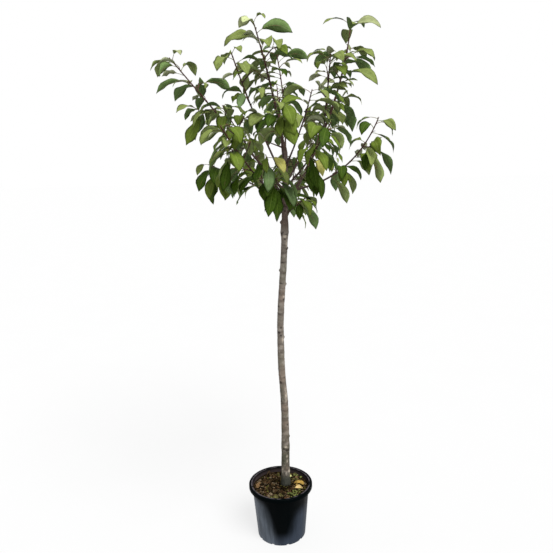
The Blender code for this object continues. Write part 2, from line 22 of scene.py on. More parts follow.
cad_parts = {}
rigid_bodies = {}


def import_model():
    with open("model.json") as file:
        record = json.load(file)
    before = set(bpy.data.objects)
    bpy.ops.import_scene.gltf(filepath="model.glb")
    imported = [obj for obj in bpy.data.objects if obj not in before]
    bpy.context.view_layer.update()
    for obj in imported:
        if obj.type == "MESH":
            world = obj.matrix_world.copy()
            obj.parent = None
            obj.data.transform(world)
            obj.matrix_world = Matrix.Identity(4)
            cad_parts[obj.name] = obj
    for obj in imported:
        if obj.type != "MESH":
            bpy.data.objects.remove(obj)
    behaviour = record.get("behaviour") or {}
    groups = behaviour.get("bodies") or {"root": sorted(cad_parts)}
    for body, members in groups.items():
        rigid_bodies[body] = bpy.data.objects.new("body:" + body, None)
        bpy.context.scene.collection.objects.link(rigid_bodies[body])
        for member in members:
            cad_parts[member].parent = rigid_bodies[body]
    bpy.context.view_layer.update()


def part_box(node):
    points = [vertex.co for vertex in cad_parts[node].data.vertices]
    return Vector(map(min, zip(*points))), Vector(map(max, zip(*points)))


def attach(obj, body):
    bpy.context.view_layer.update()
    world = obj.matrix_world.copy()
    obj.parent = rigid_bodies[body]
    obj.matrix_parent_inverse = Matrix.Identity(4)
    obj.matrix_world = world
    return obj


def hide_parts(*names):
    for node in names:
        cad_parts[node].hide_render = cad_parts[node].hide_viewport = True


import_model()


def new_object(name, data):
    """Puts a camera, a light or a mesh into the scene."""
    made = bpy.data.objects.new(name, data)
    bpy.context.scene.collection.objects.link(made)
    return made


def new_mesh(name, work, materials=()):
    """Turns a bmesh into a mesh."""
    mesh = bpy.data.meshes.new(name)
    work.to_mesh(mesh)
    work.free()
    for material in materials:
        mesh.materials.append(material)
    return mesh


# %% [markdown]
# ## Camera and light
#
# A catalogue picture of a plant is taken from a step back, well above the pot's rim, under
# soft light. The camera here was solved from the ellipse of the pot's lip: it stands 2.3 m back
# at 1.65 m, looks down 11.7 degrees and leans 1.5 degrees.
#
# The light could be three area lamps. A wide sun in a white sky was chosen, because it reaches
# the whole plant evenly. It stands above the front right, the side on which the trunk is
# lightest. The standard view transform keeps colours as they are named.

# %% Camera
CAMERA_PLACE = (0.0058, -2.3, 1.65)
CAMERA_PITCH = math.radians(11.7)
CAMERA_LEAN = math.radians(1.5)
LENS = 37.17
SENSOR = 36

camera_data = bpy.data.cameras.new("catalogue_camera")
camera_data.lens = LENS
camera_data.sensor_width = SENSOR
camera = new_object("catalogue_camera", camera_data)
camera.matrix_world = (
    Matrix.Translation(CAMERA_PLACE)
    @ Matrix.Rotation(math.pi / 2 - CAMERA_PITCH, 4, "X")
    @ Matrix.Rotation(-CAMERA_LEAN, 4, "Z")
)
bpy.context.scene.camera = camera
bpy.context.scene.view_settings.view_transform = "Standard"
print("camera at", CAMERA_PLACE)

# %% Sky and sun
SKY_STRENGTH = 1.0
SUN_STRENGTH = 6.0
SUN_WIDTH = math.radians(35)
SUN_TURN = (math.radians(30), math.radians(23), 0)

sky = bpy.data.worlds.new("white_sky")
bpy.context.scene.world = sky
sky.use_nodes = True
sky_light = sky.node_tree.nodes["Background"]
sky_light.inputs["Color"].default_value = (1, 1, 1, 1)
sky_light.inputs["Strength"].default_value = SKY_STRENGTH

sun_data = bpy.data.lights.new("soft_sun", "SUN")
sun_data.energy = SUN_STRENGTH
sun_data.angle = SUN_WIDTH
new_object("soft_sun", sun_data).rotation_euler = SUN_TURN
print("sky", SKY_STRENGTH, "and sun", SUN_STRENGTH)

# %% [markdown]
# ## Writing materials as sums
#
# A material is a graph of nodes, which reads badly in code. Here a small class wraps a node's
# output, and its operators add Math nodes, so a mask is written as the sum that it is. Every
# other node comes from one method. What never varies is set on the shader's own sockets.

# %% A socket with arithmetic
class Wire:
    """A node's output, whose arithmetic adds Math nodes."""

    def __init__(self, recipe, socket):
        self.recipe = recipe
        self.socket = socket

    def __add__(self, other):
        return self.recipe.math("ADD", self, other)

    def __sub__(self, other):
        return self.recipe.math("SUBTRACT", self, other)

    def __rsub__(self, other):
        return self.recipe.math("SUBTRACT", other, self)

    def __mul__(self, other):
        return self.recipe.math("MULTIPLY", self, other)

    __radd__ = __add__
    __rmul__ = __mul__

    def __abs__(self):
        return self.recipe.math("ABSOLUTE", self, 0)


print("a wire answers to +, -, * and abs")

# %% A material written as a recipe
class Recipe:
    """A material: constants on the shader's own sockets, and patterns by node()."""

    def __init__(self, name, color, roughness, specular=0.5):
        self.material = bpy.data.materials.new(name)
        self.material.use_nodes = True
        self.material.diffuse_color = (*color, 1)
        self.tree = self.material.node_tree
        self.shader = self.tree.nodes["Principled BSDF"]
        constants = {"Base Color": color, "Roughness": roughness, "Specular IOR Level": specular}
        self.fill(self.shader, constants)

    def fill(self, node, sockets):
        for key, value in sockets.items():
            socket = node.inputs[key]
            if isinstance(value, Wire):
                self.tree.links.new(value.socket, socket)
            elif socket.type == "RGBA":
                socket.default_value = (*value, 1)
            else:
                socket.default_value = value

    def node(self, kind, settings, sockets, out=0):
        """Adds a node: its settings first, then the values and links of its sockets."""
        node = self.tree.nodes.new(kind)
        for key, value in settings.items():
            setattr(node, key, value)
        self.fill(node, sockets)
        return Wire(self, node.outputs[out])

    def math(self, operation, first, second):
        return self.node("ShaderNodeMath", {"operation": operation}, {0: first, 1: second})

    def mix(self, amount, first, second):
        """A colour between two colours."""
        sockets = {0: amount, 6: first, 7: second}
        return self.node("ShaderNodeMix", {"data_type": "RGBA"}, sockets, 2)

    def part(self, vector, number):
        """One of a vector's three numbers."""
        return self.node("ShaderNodeSeparateXYZ", {}, {0: vector}, number)

    def place(self, stretch=(1, 1, 1)):
        """Object coordinates, stretched along the axes."""
        place = self.node("ShaderNodeTexCoord", {}, {}, "Object")
        return self.node("ShaderNodeMapping", {}, {"Vector": place, "Scale": stretch})

    def speckle(self, scale, detail=3, stretch=(1, 1, 1)):
        """Noise from 0 to 1, in patches about 1 / scale metres wide."""
        sockets = {"Vector": self.place(stretch), "Scale": scale, "Detail": detail}
        return self.node("ShaderNodeTexNoise", {}, sockets, "Fac")

    def mask(self, wire, low, high):
        """0 at low, 1 at high, and smooth between."""
        sockets = {"Value": wire, "From Min": low, "From Max": high}
        return self.node("ShaderNodeMapRange", {"interpolation_type": "SMOOTHSTEP"}, sockets)

    def painted(self, name):
        """A number that the mesh holds at each of its points."""
        return self.node("ShaderNodeAttribute", {"attribute_name": name}, {}, "Fac")

    def finish(self, sockets, height=None, depth=0.001):
        """Links what varies, with a height in metres times depth as bump."""
        if height:
            bump = {"Height": height, "Distance": depth}
            sockets["Normal"] = self.node("ShaderNodeBump", {}, bump)
        self.fill(self.shader, sockets)
        return self.material


print("a recipe knows", ", ".join(name for name in vars(Recipe) if name[0] != "_"))

# %% [markdown]
# ## Handing over a piece
#
# Every piece ends in the same way: its bmesh becomes a mesh with its place in its vertices, the
# object rides on the plant's one body, and stands for CAD nodes.

# %% Adding a finished piece
def add_piece(name, work, materials, slot, *nodes):
    mesh = new_mesh(name, work, materials)
    mesh.shade_smooth()
    piece = new_object(name, mesh)
    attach(piece, "root")
    if nodes:
        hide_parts(*nodes)
    print(name, sum(len(face.vertices) - 2 for face in mesh.polygons), "triangles")
    return piece


def close_up(work):
    """Fills the open ends and turns every face outwards."""
    bmesh.ops.holes_fill(work, edges=[edge for edge in work.edges if edge.is_boundary])
    bmesh.ops.recalc_face_normals(work, faces=work.faces)


print("every piece rides on the body root")

# %% [markdown]
# ## The floor
#
# The floor is stage, and not part of the plant. On plain white paper the sun would cast a dark
# shadow. A cut-out picture of a plant has hardly any, so this is a table that is lit from
# within: it glows nearly as bright as the sky, and leaves a faint shadow round the pot.

# %% Floor
FLOOR_SIZE = 80
FLOOR_GLOW = 0.75
FLOOR_COLOR = (0.10, 0.10, 0.10)
FLOOR_CLOUDS = (0.095, 0.095, 0.095)

table = Recipe("lit white table", FLOOR_COLOR, 0.9, 0.0)
table.fill(table.shader, {"Emission Color": (1, 1, 1), "Emission Strength": FLOOR_GLOW})
table_color = table.mix(table.speckle(3), FLOOR_COLOR, FLOOR_CLOUDS)
table_top = table.finish({"Base Color": table_color})
floor_work = bmesh.new()
bmesh.ops.create_grid(floor_work, x_segments=1, y_segments=1, size=FLOOR_SIZE / 2)
floor = new_object("floor", new_mesh("floor", floor_work, [table_top]))
print("floor", FLOOR_SIZE, "m wide")

# %% [markdown]
# ## The nursery pot
#
# The real pot is injection moulded: a thin tapering wall, a lip turned down for stiffness, and
# small drain notches round its foot. A cylinder with a bevel would lack the lip's hollow
# underside, so floor, wall and lip are one section, spun round the axis and then bevelled.

# %% Spin a section and round its rings
# A smaller distance would be lost in rounding at the plant's top
MERGE_DISTANCE = 1e-6
SHARP = 0.5


def spin_section(points, steps):
    """A closed body from a section of (radius, height) points that starts and ends on the axis."""
    work = bmesh.new()
    verts = [work.verts.new((radius, 0, height)) for radius, height in points]
    for first, second in zip(verts, verts[1:]):
        work.edges.new((first, second))
    section = work.verts[:] + work.edges[:]
    turn = {"cent": (0, 0, 0), "axis": (0, 0, 1), "angle": 2 * math.pi, "steps": steps}
    bmesh.ops.spin(work, geom=section, use_merge=True, **turn)
    bmesh.ops.remove_doubles(work, verts=work.verts, dist=MERGE_DISTANCE)
    bmesh.ops.recalc_face_normals(work, faces=work.faces)
    return work


def round_rings(work, picked, radius, segments):
    """Rounds the sharp rings whose points are picked."""
    sharp = [
        edge
        for edge in work.edges
        if edge.calc_face_angle(0) > SHARP and all(picked(vert.co) for vert in edge.verts)
    ]
    rounding = {"segments": segments, "profile": 0.5, "material": -1}
    bmesh.ops.bevel(work, geom=sharp, offset=radius, affect="EDGES", **rounding)


print("rings that turn by more than", round(math.degrees(SHARP)), "degrees count as sharp")

# %% Spin the pot
POT_HEIGHT = 0.240
POT_WALL = 0.002
BASE_RADIUS = 0.106
WALL_TOP_RADIUS = 0.126
LIP_RADIUS = 0.140
LIP_HEIGHT = 0.016
LIP_ROUND = 0.0025
LIP_SEGMENTS = 4
FOOT_ROUND = 0.0007
FOOT_SEGMENTS = 2
POT_STEPS = 144
HAIR = 1e-5

lip_foot = POT_HEIGHT - LIP_HEIGHT
pot_work = spin_section(
    (
        (0, POT_WALL),
        (BASE_RADIUS - POT_WALL, POT_WALL),
        (WALL_TOP_RADIUS - POT_WALL, POT_HEIGHT),
        (LIP_RADIUS, POT_HEIGHT),
        (LIP_RADIUS, lip_foot),
        (LIP_RADIUS - POT_WALL, lip_foot),
        (LIP_RADIUS - POT_WALL, POT_HEIGHT - 2 * POT_WALL),
        (WALL_TOP_RADIUS, POT_HEIGHT - 2 * POT_WALL),
        (BASE_RADIUS, 0),
        (0, 0),
    ),
    POT_STEPS,
)
round_rings(pot_work, lambda place: place.z > POT_HEIGHT - HAIR, LIP_ROUND, LIP_SEGMENTS)
below_lip = POT_HEIGHT - LIP_ROUND - HAIR
round_rings(pot_work, lambda place: place.z < below_lip, FOOT_ROUND, FOOT_SEGMENTS)
print(len(pot_work.faces), "faces round the pot")

# %% [markdown]
# The plastic is black through. A blue-grey painted reflection of the white floor and sky lies on
# it, paler on the left, and round the foot. At the front it is left out down to a point near the
# foot, so the middle stays black, and below the lip it is left out too, as painted shade under
# the lip. So the reflection starts at two slanting lines, left and right of the middle, whose
# edges wander. Long streaks come from the mould: they are noise that is stretched upright.

# %% Black plastic
BLACK = (0.0003, 0.0009, 0.0011)
LEFT_REFLECTION = (0.096, 0.112, 0.135)
RIGHT_REFLECTION = (0.024, 0.031, 0.044)
RIM_SHEEN_AND_SCUFF = (0.045, 0.039, 0.043)
SOIL_DUST = (0.030, 0.022, 0.022)
REFLECTION_SLANT = 0.28

plastic = Recipe("black plastic", BLACK, 0.3, 0.01)
across = plastic.part(plastic.place(), 0) + plastic.speckle(30, 3, (1, 1, 0.35)) * 0.014 - 0.007
height = plastic.part(plastic.place(), 2)
streaks = plastic.speckle(70, 3, (1, 1, 0.08))
clouds = plastic.speckle(26, 3, (1, 1, 0.5))
# left and right hold the painted reflection, cut off below the lip to leave painted shade there
left = plastic.mask(across * -1 - height * REFLECTION_SLANT, -0.004, 0.062)
left = left * (1 - plastic.mask(height + clouds * 0.04, 0.190, 0.238))
right = plastic.mask(across - height * REFLECTION_SLANT, -0.002, 0.056)
right = right * (1 - plastic.mask(height + clouds * 0.05, 0.140, 0.215))
# foot holds a painted reflection of the floor round the pot's foot
foot = 1 - plastic.mask(height, 0.000, 0.070)
flat_place = {0: plastic.place((1, 1, 0))}
from_axis = plastic.node("ShaderNodeVectorMath", {"operation": "LENGTH"}, flat_place, 1)
inner_wall = (1 - plastic.mask(from_axis, 0.1225, 0.1243)) * plastic.mask(height, 0.215, 0.222)
# rim: a pale band on the lip's rounded top, partly painted highlight and partly scuffs
rim = plastic.mask(from_axis, 0.1245, 0.1265) * (1 - plastic.mask(from_axis, 0.1295, 0.1325))
rim = rim * plastic.mask(height, 0.2350, 0.2385) * plastic.mask(plastic.speckle(45, 4), 0.36, 0.60)
# The painted reflection over the black, then real soil dust on the inner wall, then the rim's band
painted_reflection_and_dust = plastic.mix(right * (streaks * 1.2 + clouds * 0.8 - 0.05), BLACK, RIGHT_REFLECTION)
painted_reflection_and_dust = plastic.mix(foot * (0.7 + streaks * 0.7), painted_reflection_and_dust, RIGHT_REFLECTION)
painted_reflection_and_dust = plastic.mix(left * (streaks * 1.2 + clouds * 0.8 - 0.15), painted_reflection_and_dust, LEFT_REFLECTION)
painted_reflection_and_dust = plastic.mix(inner_wall * (0.4 + streaks * 0.8), painted_reflection_and_dust, SOIL_DUST)
painted_reflection_and_dust = plastic.mix(rim, painted_reflection_and_dust, RIM_SHEEN_AND_SCUFF)
plastic_finish = {"Base Color": painted_reflection_and_dust, "Roughness": 0.22 + streaks * 0.25}
black_plastic = plastic.finish(plastic_finish, plastic.speckle(14, 2), 0.002)
print(len(plastic.tree.nodes), "nodes in the plastic")

# %% Cut the drain notches
DRAINS = 10
DRAIN_WIDTH = 0.012
DRAIN_HEIGHT = 0.005
DRAIN_FIRST_TURN = math.radians(-40)
CREASE = math.radians(40)

notch_work = bmesh.new()
for number in range(DRAINS):
    turn = DRAIN_FIRST_TURN + 2 * math.pi * number / DRAINS
    size = Matrix.Diagonal((DRAIN_WIDTH, DRAIN_WIDTH, 2 * DRAIN_HEIGHT, 1))
    place = Matrix.Rotation(turn, 4, "Z") @ Matrix.Translation((BASE_RADIUS, 0, 0)) @ size
    bmesh.ops.create_cube(notch_work, size=1, matrix=place)
notches = new_object("notches", new_mesh("notches", notch_work))

pot = add_piece("nursery_pot", pot_work, [black_plastic], "pot_plastic", "pot")
cut = pot.modifiers.new("drain notches", "BOOLEAN")
cut.operation = "DIFFERENCE"
cut.solver = "EXACT"
cut.object = notches
bpy.context.view_layer.update()
notched_pot = pot.evaluated_get(bpy.context.evaluated_depsgraph_get())
pot_mesh = bpy.data.meshes.new_from_object(notched_pot)
pot.modifiers.remove(cut)
pot.data = pot_mesh
pot_mesh.name = "nursery_pot"
pot_mesh.set_sharp_from_angle(angle=CREASE)
bpy.data.objects.remove(notches)
print("pot with", DRAINS, "notches,", len(pot_mesh.polygons), "faces")

# %% [markdown]
# ## The growth rule
#
# Leaves on a cherry shoot stand one at a time, each turned about 137 degrees from the last.
# Near the tip they are closer and smaller, short spurs on the older part carry them in
# clusters, and each leaf hangs out to the light, clear of its neighbours.
#
# The CAD masses were grown by that rule from seeded draws. It is repeated here with the same
# numbers in the same order, so every fine leaf falls where a plain one stands. Leaves placed
# by hand would look as good from one side only.

# %% Sizes of the trunk and of every shoot
SOIL_HEIGHT = 0.224
TRUNK_START = 0.216
TRUNK_TOP = 1.680
TRUNK_FOOT_X = 0.022
TRUNK_TOP_X = 0.052
TRUNK_BEND = 0.020
BEND_HEIGHT = 0.95
BEND_SPREAD = 0.26
TRUNK_KINK = 0.0035
KINK_HEIGHT = 0.745
KINK_SPREAD = 0.10
TRUNK_SWAY = 0.012
TRUNK_FOOT_RADIUS = 0.0190
TRUNK_MIDDLE_RADIUS = 0.0147
TRUNK_MIDDLE_SHARE = 0.35
TRUNK_UNION_RADIUS = 0.0131
TRUNK_UNION_SHARE = 0.78
TRUNK_TOP_RADIUS = 0.0104
FLARE = 0.0035
FLARE_HEIGHT = 0.045
LOW_UNION = (0.416, 0.0012, 0.022)
HIGH_UNION = (1.365, 0.0033, 0.034)
CROWN_HEIGHT = 1.40
LOWEST_LEAF = 1.20
LINE_POINTS = 13
ASIDE = (0.3, 0.2, 1.0)

SLIM_SHOOT = 0.005
SLIM_TIP_RADIUS = 0.0022
TIP_RADIUS = 0.0024

# Each shoot's name, the limb that carries it, its foot's height or share along that limb, its
# tip, its bow, its radius at the foot, the share of it that is bare, its spurs, and its seed
Shoot = namedtuple("Shoot", "name parent foot tip bow thick bare spurs seed")
Leaf = namedtuple("Leaf", "root heading rise fall roll petiole length width")
Twig = namedtuple("Twig", "points thick thin")
SHOOTS = [Shoot(*row) for row in (
    ("leader", "trunk", 1.672, (-0.055, -0.04, 2.145), (0.005, 0, 0.01), 0.0068, 0.24, 3, 73),
    ("upright", "trunk", 1.64, (0.025, 0.09, 2.075), (0.015, 0.02, 0), 0.0042, 0.28, 3, 86),
    ("left_long", "trunk", 1.517, (-0.361, -0.1, 2.015), (-0.01, 0, 0.01), 0.006, 0.25, 5, 75),
    ("left_middle", "trunk", 1.557, (-0.13, -0.2, 2.01), (-0.015, 0, 0.015), 0.005, 0.25, 4, 87),
    ("left_low", "trunk", 1.478, (-0.26, 0.1, 1.63), (-0.005, 0, 0.01), 0.0045, 0.35, 2, 89),
    ("right_low", "right", 0.1, (0.397, -0.12, 1.785), (0.035, 0, -0.045), 0.005, 0.3, 2, 46),
    ("right", "trunk", 1.458, (0.32, 0.06, 2.155), (0.045, 0, -0.005), 0.009, 0.47, 3, 47),
    ("right_fork", "right", 0.42, (0.228, -0.06, 2.025), (0.002, 0, 0.004), 0.005, 0.25, 2, 11),
    ("right_middle", "trunk", 1.611, (0.15, -0.16, 1.885), (0.01, 0, 0.005), 0.0045, 0.28, 3, 93),
    ("front", "trunk", 1.59, (0.03, -0.35, 1.84), (0, -0.02, -0.02), 0.005, 0.28, 4, 115),
    ("front_left", "trunk", 1.462, (-0.17, -0.31, 1.76), (0, -0.02, -0.02), 0.005, 0.28, 4, 70),
    ("front_right", "trunk", 1.537, (0.2, -0.32, 1.76), (0, -0.02, -0.02), 0.005, 0.28, 4, 25),
    ("front_low", "trunk", 1.438, (-0.02, -0.26, 1.66), (0, -0.02, -0.01), 0.0045, 0.3, 2, 107),
    ("back", "trunk", 1.58, (0.03, 0.35, 1.96), (0, 0.02, -0.02), 0.005, 0.28, 4, 73),
    ("back_left", "trunk", 1.497, (-0.21, 0.3, 1.88), (0, 0.02, -0.02), 0.005, 0.28, 4, 44),
    ("back_right", "trunk", 1.55, (0.255, 0.29, 1.89), (0, 0.02, -0.02), 0.005, 0.28, 4, 52),
    ("back_low", "trunk", 1.428, (0.11, 0.31, 1.65), (0, 0.02, -0.015), 0.0045, 0.3, 3, 4),
    ("heart", "trunk", 1.425, (0.125, -0.02, 1.49), (0, 0, 0), 0.0035, 0, 1, 64),
)]
print(len(SHOOTS), "shoots")

# %% Lines of trunk and shoots
def unit(vector):
    return vector / np.linalg.norm(vector)


def trunk_point(height):
    """The trunk's axis at a height: its lean, its bend with a kink, and a small sway in depth."""
    share = (height - TRUNK_START) / (TRUNK_TOP - TRUNK_START)
    bend = TRUNK_BEND * math.exp(-(((height - BEND_HEIGHT) / BEND_SPREAD) ** 2))
    bend += TRUNK_KINK * math.exp(-(((height - KINK_HEIGHT) / KINK_SPREAD) ** 2))
    x = TRUNK_FOOT_X + (TRUNK_TOP_X - TRUNK_FOOT_X) * share - bend
    return np.array((x, TRUNK_SWAY * math.sin(math.pi * share), height))


def trunk_radius(height):
    """The trunk's taper, with its flare and the swelling of each graft union."""
    share = (height - TRUNK_START) / (TRUNK_TOP - TRUNK_START)
    shares = (0, TRUNK_MIDDLE_SHARE, TRUNK_UNION_SHARE, 1)
    radii = (TRUNK_FOOT_RADIUS, TRUNK_MIDDLE_RADIUS, TRUNK_UNION_RADIUS, TRUNK_TOP_RADIUS)
    radius = np.interp(share, shares, radii)
    radius += FLARE * math.exp(-max(height - SOIL_HEIGHT, 0) / FLARE_HEIGHT)
    for middle, swelling, spread in (LOW_UNION, HIGH_UNION):
        radius += swelling * math.exp(-(((height - middle) / spread) ** 2))
    return float(radius)


def foot_point(shoot):
    if shoot.parent == "trunk":
        return trunk_point(shoot.foot)
    parent = next(other for other in SHOOTS if other.name == shoot.parent)
    return shoot_point(parent, shoot.foot)


def shoot_point(shoot, share):
    """A point on the shoot's axis, share 0 at its foot and 1 at its tip."""
    foot = foot_point(shoot)
    bow = np.array(shoot.bow) * 4 * share * (1 - share)
    return foot + (np.array(shoot.tip) - foot) * share + bow


def shoot_line(shoot, shares):
    return np.array([shoot_point(shoot, share) for share in shares])


def tip_radius(shoot):
    return SLIM_TIP_RADIUS if shoot.thick < SLIM_SHOOT else TIP_RADIUS


def radius_at(shoot, share):
    return shoot.thick + (tip_radius(shoot) - shoot.thick) * share


print("trunk", round(2000 * trunk_radius(CROWN_HEIGHT), 1), "mm thick where the crown starts")

# %% Distances and directions
def pieces_of(lines):
    """Starts and runs of the straight pieces that make up these lines."""
    starts = np.vstack([line[:-1] for line in lines])
    return starts, np.vstack([np.diff(line, axis=0) for line in lines])


def distances(points, pieces):
    """The distance from each point to each straight piece."""
    starts, runs = pieces
    offsets = points[:, None] - starts
    shares = np.clip((offsets * runs).sum(2) / (runs**2).sum(1), 0, 1)
    return np.linalg.norm(offsets - runs * shares[..., None], axis=2)


def length_of(line):
    return np.linalg.norm(np.diff(line, axis=0), axis=1).sum()


def place_on(line, back):
    """The point this far back from a line's end, and the direction of growth there."""
    runs = np.diff(line, axis=0)
    ends = np.concatenate(([0], np.cumsum(np.linalg.norm(runs, axis=1))))
    at = ends[-1] - back
    index = min(max(int(np.searchsorted(ends, at, side="right")) - 1, 0), len(runs) - 1)
    share = (at - ends[index]) / (ends[index + 1] - ends[index])
    return line[index] + runs[index] * share, unit(runs[index])


def outward(ahead, turn, lean):
    """A direction that leans out from the direction of growth, at a turn round it."""
    first = unit(np.cross(ahead, ASIDE))
    around = math.cos(turn) * first + math.sin(turn) * np.cross(ahead, first)
    return unit(math.cos(lean) * ahead + math.sin(lean) * around)


print("the leader is", round(length_of(shoot_line(SHOOTS[0], (0, 0.5, 1))), 2), "m long")

# %% [markdown]
# A leaf is an arc in an upright plane: it rises from its twig and falls towards its tip. Low in
# the crown, in the shade, it hangs more steeply. A leaf that would touch a limb, crowd another
# leaf or leave the space of its own shoot tries other turns, and is then skipped. So the crown
# keeps the gaps through which the sky shows.

# %% How leaves differ
LEAF_TURN = math.radians(137.5)
LEAF_SPACING = 0.046
TIP_SPACING = 0.009
TIP_OPENING = 1.3
TIP_CLEAR = 0.003
FOOT_CLEAR = 0.012
TIP_SIZES = (0.66, 0.80, 0.90, 1.0, 1.0)
LEAF_LENGTH = 0.108
LEAF_WIDTH = 0.41
PETIOLE_LENGTH = 0.028
FOLD = math.radians(24)
LEAF_LEAN = 0.95
LEAF_SIZE_RANGE = (0.82, 1.15)
WIDTH_RANGE = (0.9, 1.1)
PETIOLE_RANGE = (0.8, 1.2)
HEADING_SPREAD = 0.3
RISE_LIFT = 0.25
RISE_MOST = 1.0
RISE_SPREAD = 0.2
FALL_RANGE = (math.radians(-62), math.radians(-38))
ROLL_SPREAD = math.radians(28)
SHADE_RISE = 0.4
SHADE_FALL = math.radians(28)
BRIGHT_HEIGHT = 2.10
SHADE_HEIGHT = 1.62
INNER_BLADE = 0.25
ARC_STEPS = 24
print("a leaf is about", round(100 * LEAF_LENGTH, 1), "cm long, with a petiole of",
      round(100 * PETIOLE_LENGTH, 1), "cm")

# %% How a leaf hangs
# Places before the tip where a blade is tried, and its half width there
SAMPLE_PLACES = (0.75, 0.5, 0.25, 0)
SAMPLE_HALVES = (0.85, 1.0, 0.65, 0)
ROOT_SAMPLES = 5


def leaf_line(leaf, shares):
    """Points, sides and upper normals of the midrib, at shares of petiole and blade together.

    The midrib is an arc in an upright plane, from its rise at the root to its fall at the tip.
    """
    along = np.array((math.cos(leaf.heading), math.sin(leaf.heading), 0))
    up = np.array((0, 0, 1))

    def ahead_at(places):
        angles = leaf.rise + (leaf.fall - leaf.rise) * np.asarray(places)
        return np.cos(angles)[:, None] * along + np.sin(angles)[:, None] * up

    run = (leaf.petiole + leaf.length) / ARC_STEPS
    middles = (np.arange(ARC_STEPS) + 0.5) / ARC_STEPS
    spine = np.vstack((np.zeros(3), np.cumsum(ahead_at(middles), axis=0))) * run
    places = np.linspace(0, 1, ARC_STEPS + 1)
    offsets = np.stack([np.interp(shares, places, spine[:, axis]) for axis in range(3)], axis=1)
    ahead = ahead_at(shares)
    level = np.array((-along[1], along[0], 0))
    sides = math.cos(leaf.roll) * level + math.sin(leaf.roll) * np.cross(ahead, level)
    return leaf.root + offsets, sides, np.cross(ahead, sides)


def leaf_samples(leaf):
    """Points over the outer three quarters of the blade, which keep clear of everything."""
    shares = 1 - leaf.length / (leaf.length + leaf.petiole) * np.array(SAMPLE_PLACES)
    halves = leaf.width / 2 * np.array(SAMPLE_HALVES)[:, None]
    points, sides, normals = leaf_line(leaf, shares)
    out = halves * math.cos(FOLD) * sides
    lift = halves * math.sin(FOLD) * normals
    return np.vstack((points, (points + out + lift)[:3], (points - out + lift)[:3]))


def root_samples(leaf):
    """Points along the petiole and the first quarter of the midrib."""
    inner = (leaf.petiole + leaf.length * INNER_BLADE) / (leaf.petiole + leaf.length)
    return leaf_line(leaf, np.linspace(0, inner, ROOT_SAMPLES))[0]


print("a blade is tried at", 3 * len(SAMPLE_PLACES) - 2, "points, its petiole at", ROOT_SAMPLES)

# %% Draw a new leaf
def new_leaf(line, back, turn, size, rng):
    """A leaf at a place on its twig. Low in the crown, in the shade, leaves hang more steeply."""
    root, ahead = place_on(line, back)
    start = outward(ahead, turn, LEAF_LEAN)
    shade = min(max((BRIGHT_HEIGHT - root[2]) / (BRIGHT_HEIGHT - SHADE_HEIGHT), 0), 1)
    length = LEAF_LENGTH * size * rng.uniform(*LEAF_SIZE_RANGE)
    rise = min(math.asin(start[2]) + RISE_LIFT, RISE_MOST) - SHADE_RISE * shade
    return Leaf(
        root=root,
        heading=math.atan2(start[1], start[0]) + rng.uniform(-HEADING_SPREAD, HEADING_SPREAD),
        rise=rise + rng.uniform(-RISE_SPREAD, RISE_SPREAD),
        fall=rng.uniform(*FALL_RANGE) - SHADE_FALL * shade,
        roll=rng.uniform(-ROLL_SPREAD, ROLL_SPREAD),
        petiole=PETIOLE_LENGTH * rng.uniform(*PETIOLE_RANGE),
        length=length,
        width=length * LEAF_WIDTH * rng.uniform(*WIDTH_RANGE),
    )


trial = new_leaf(shoot_line(SHOOTS[0], (0, 1)), 0, 0, 1, random.Random(1))
trial_tip = leaf_line(trial, np.array((1.0,)))[0][0] - trial.root
print("a trial leaf's tip lies", np.round(100 * trial_tip, 1), "cm from its root")

# %% Room for a leaf
SPACE_MARGIN = 0.003
LEAF_CLEAR = 0.012
LIMB_CLEAR = 0.008
ROOT_CLEAR = 0.003


class Crown:
    """The axes that leaves keep clear of, and the stem that each mass grows from."""

    def __init__(self):
        shares = np.linspace(0, 1, LINE_POINTS)
        self.stems = {}
        heights = np.linspace(LOWEST_LEAF, TRUNK_TOP, LINE_POINTS)
        trunk_axis = np.array([trunk_point(height) for height in heights])
        limbs = [(trunk_axis, trunk_radius(CROWN_HEIGHT))]
        for shoot in SHOOTS:
            self.stems[shoot.name] = shoot_line(shoot, shoot.bare + (1 - shoot.bare) * shares)
            if shoot.bare:
                limbs.append((shoot_line(shoot, shoot.bare * shares), shoot.thick))
        self.limbs = pieces_of([line for line, _ in limbs])
        self.radii = np.repeat([radius for _, radius in limbs], LINE_POINTS - 1)

    def has_room(self, name, points):
        """Whether points lie nearest to their own mass's stem, and off the limbs."""
        own = distances(points, pieces_of([self.stems[name]])).min(1)
        others = pieces_of([stem for other, stem in self.stems.items() if other != name])
        if (distances(points, others).min(1) < own + SPACE_MARGIN).any():
            return False
        return self.off_limbs(points, LIMB_CLEAR)

    def off_limbs(self, points, clear):
        return (distances(points, self.limbs) - self.radii).min() > clear


crown = Crown()
print(len(crown.radii), "straight pieces of limb to keep clear of")

# %% Spurs, and places along a twig
SPUR_LENGTH = 0.045
SPUR_LENGTH_RANGE = (0.7, 1.5)
SPUR_LEAN = 1.0
SPUR_START = 0.25
SPUR_SPAN = 0.68
SPUR_LEAVES = 5
SPUR_SPACING = 0.006
SPUR_RADII = (0.0026, 0.0018)
TRIES = 10


def spur_twigs(shoot, stem, crown, rng):
    """Short side twigs on the inner part of the stem, each at its own turn round it."""
    length = length_of(stem.points)
    turn = rng.uniform(0, 2 * math.pi)
    twigs = []
    for number in range(shoot.spurs):
        back = length * (SPUR_START + SPUR_SPAN * (number + rng.random()) / shoot.spurs)
        foot, ahead = place_on(stem.points, back)
        for _ in range(TRIES):
            turn += LEAF_TURN
            run = outward(ahead, turn, SPUR_LEAN) * SPUR_LENGTH * rng.uniform(*SPUR_LENGTH_RANGE)
            line = foot + run * np.linspace(0, 1, 4)[:, None]
            if crown.has_room(shoot.name, line[2:] + unit(run) * LIMB_CLEAR):
                twigs.append(Twig(line, *SPUR_RADII))
                break
    return twigs


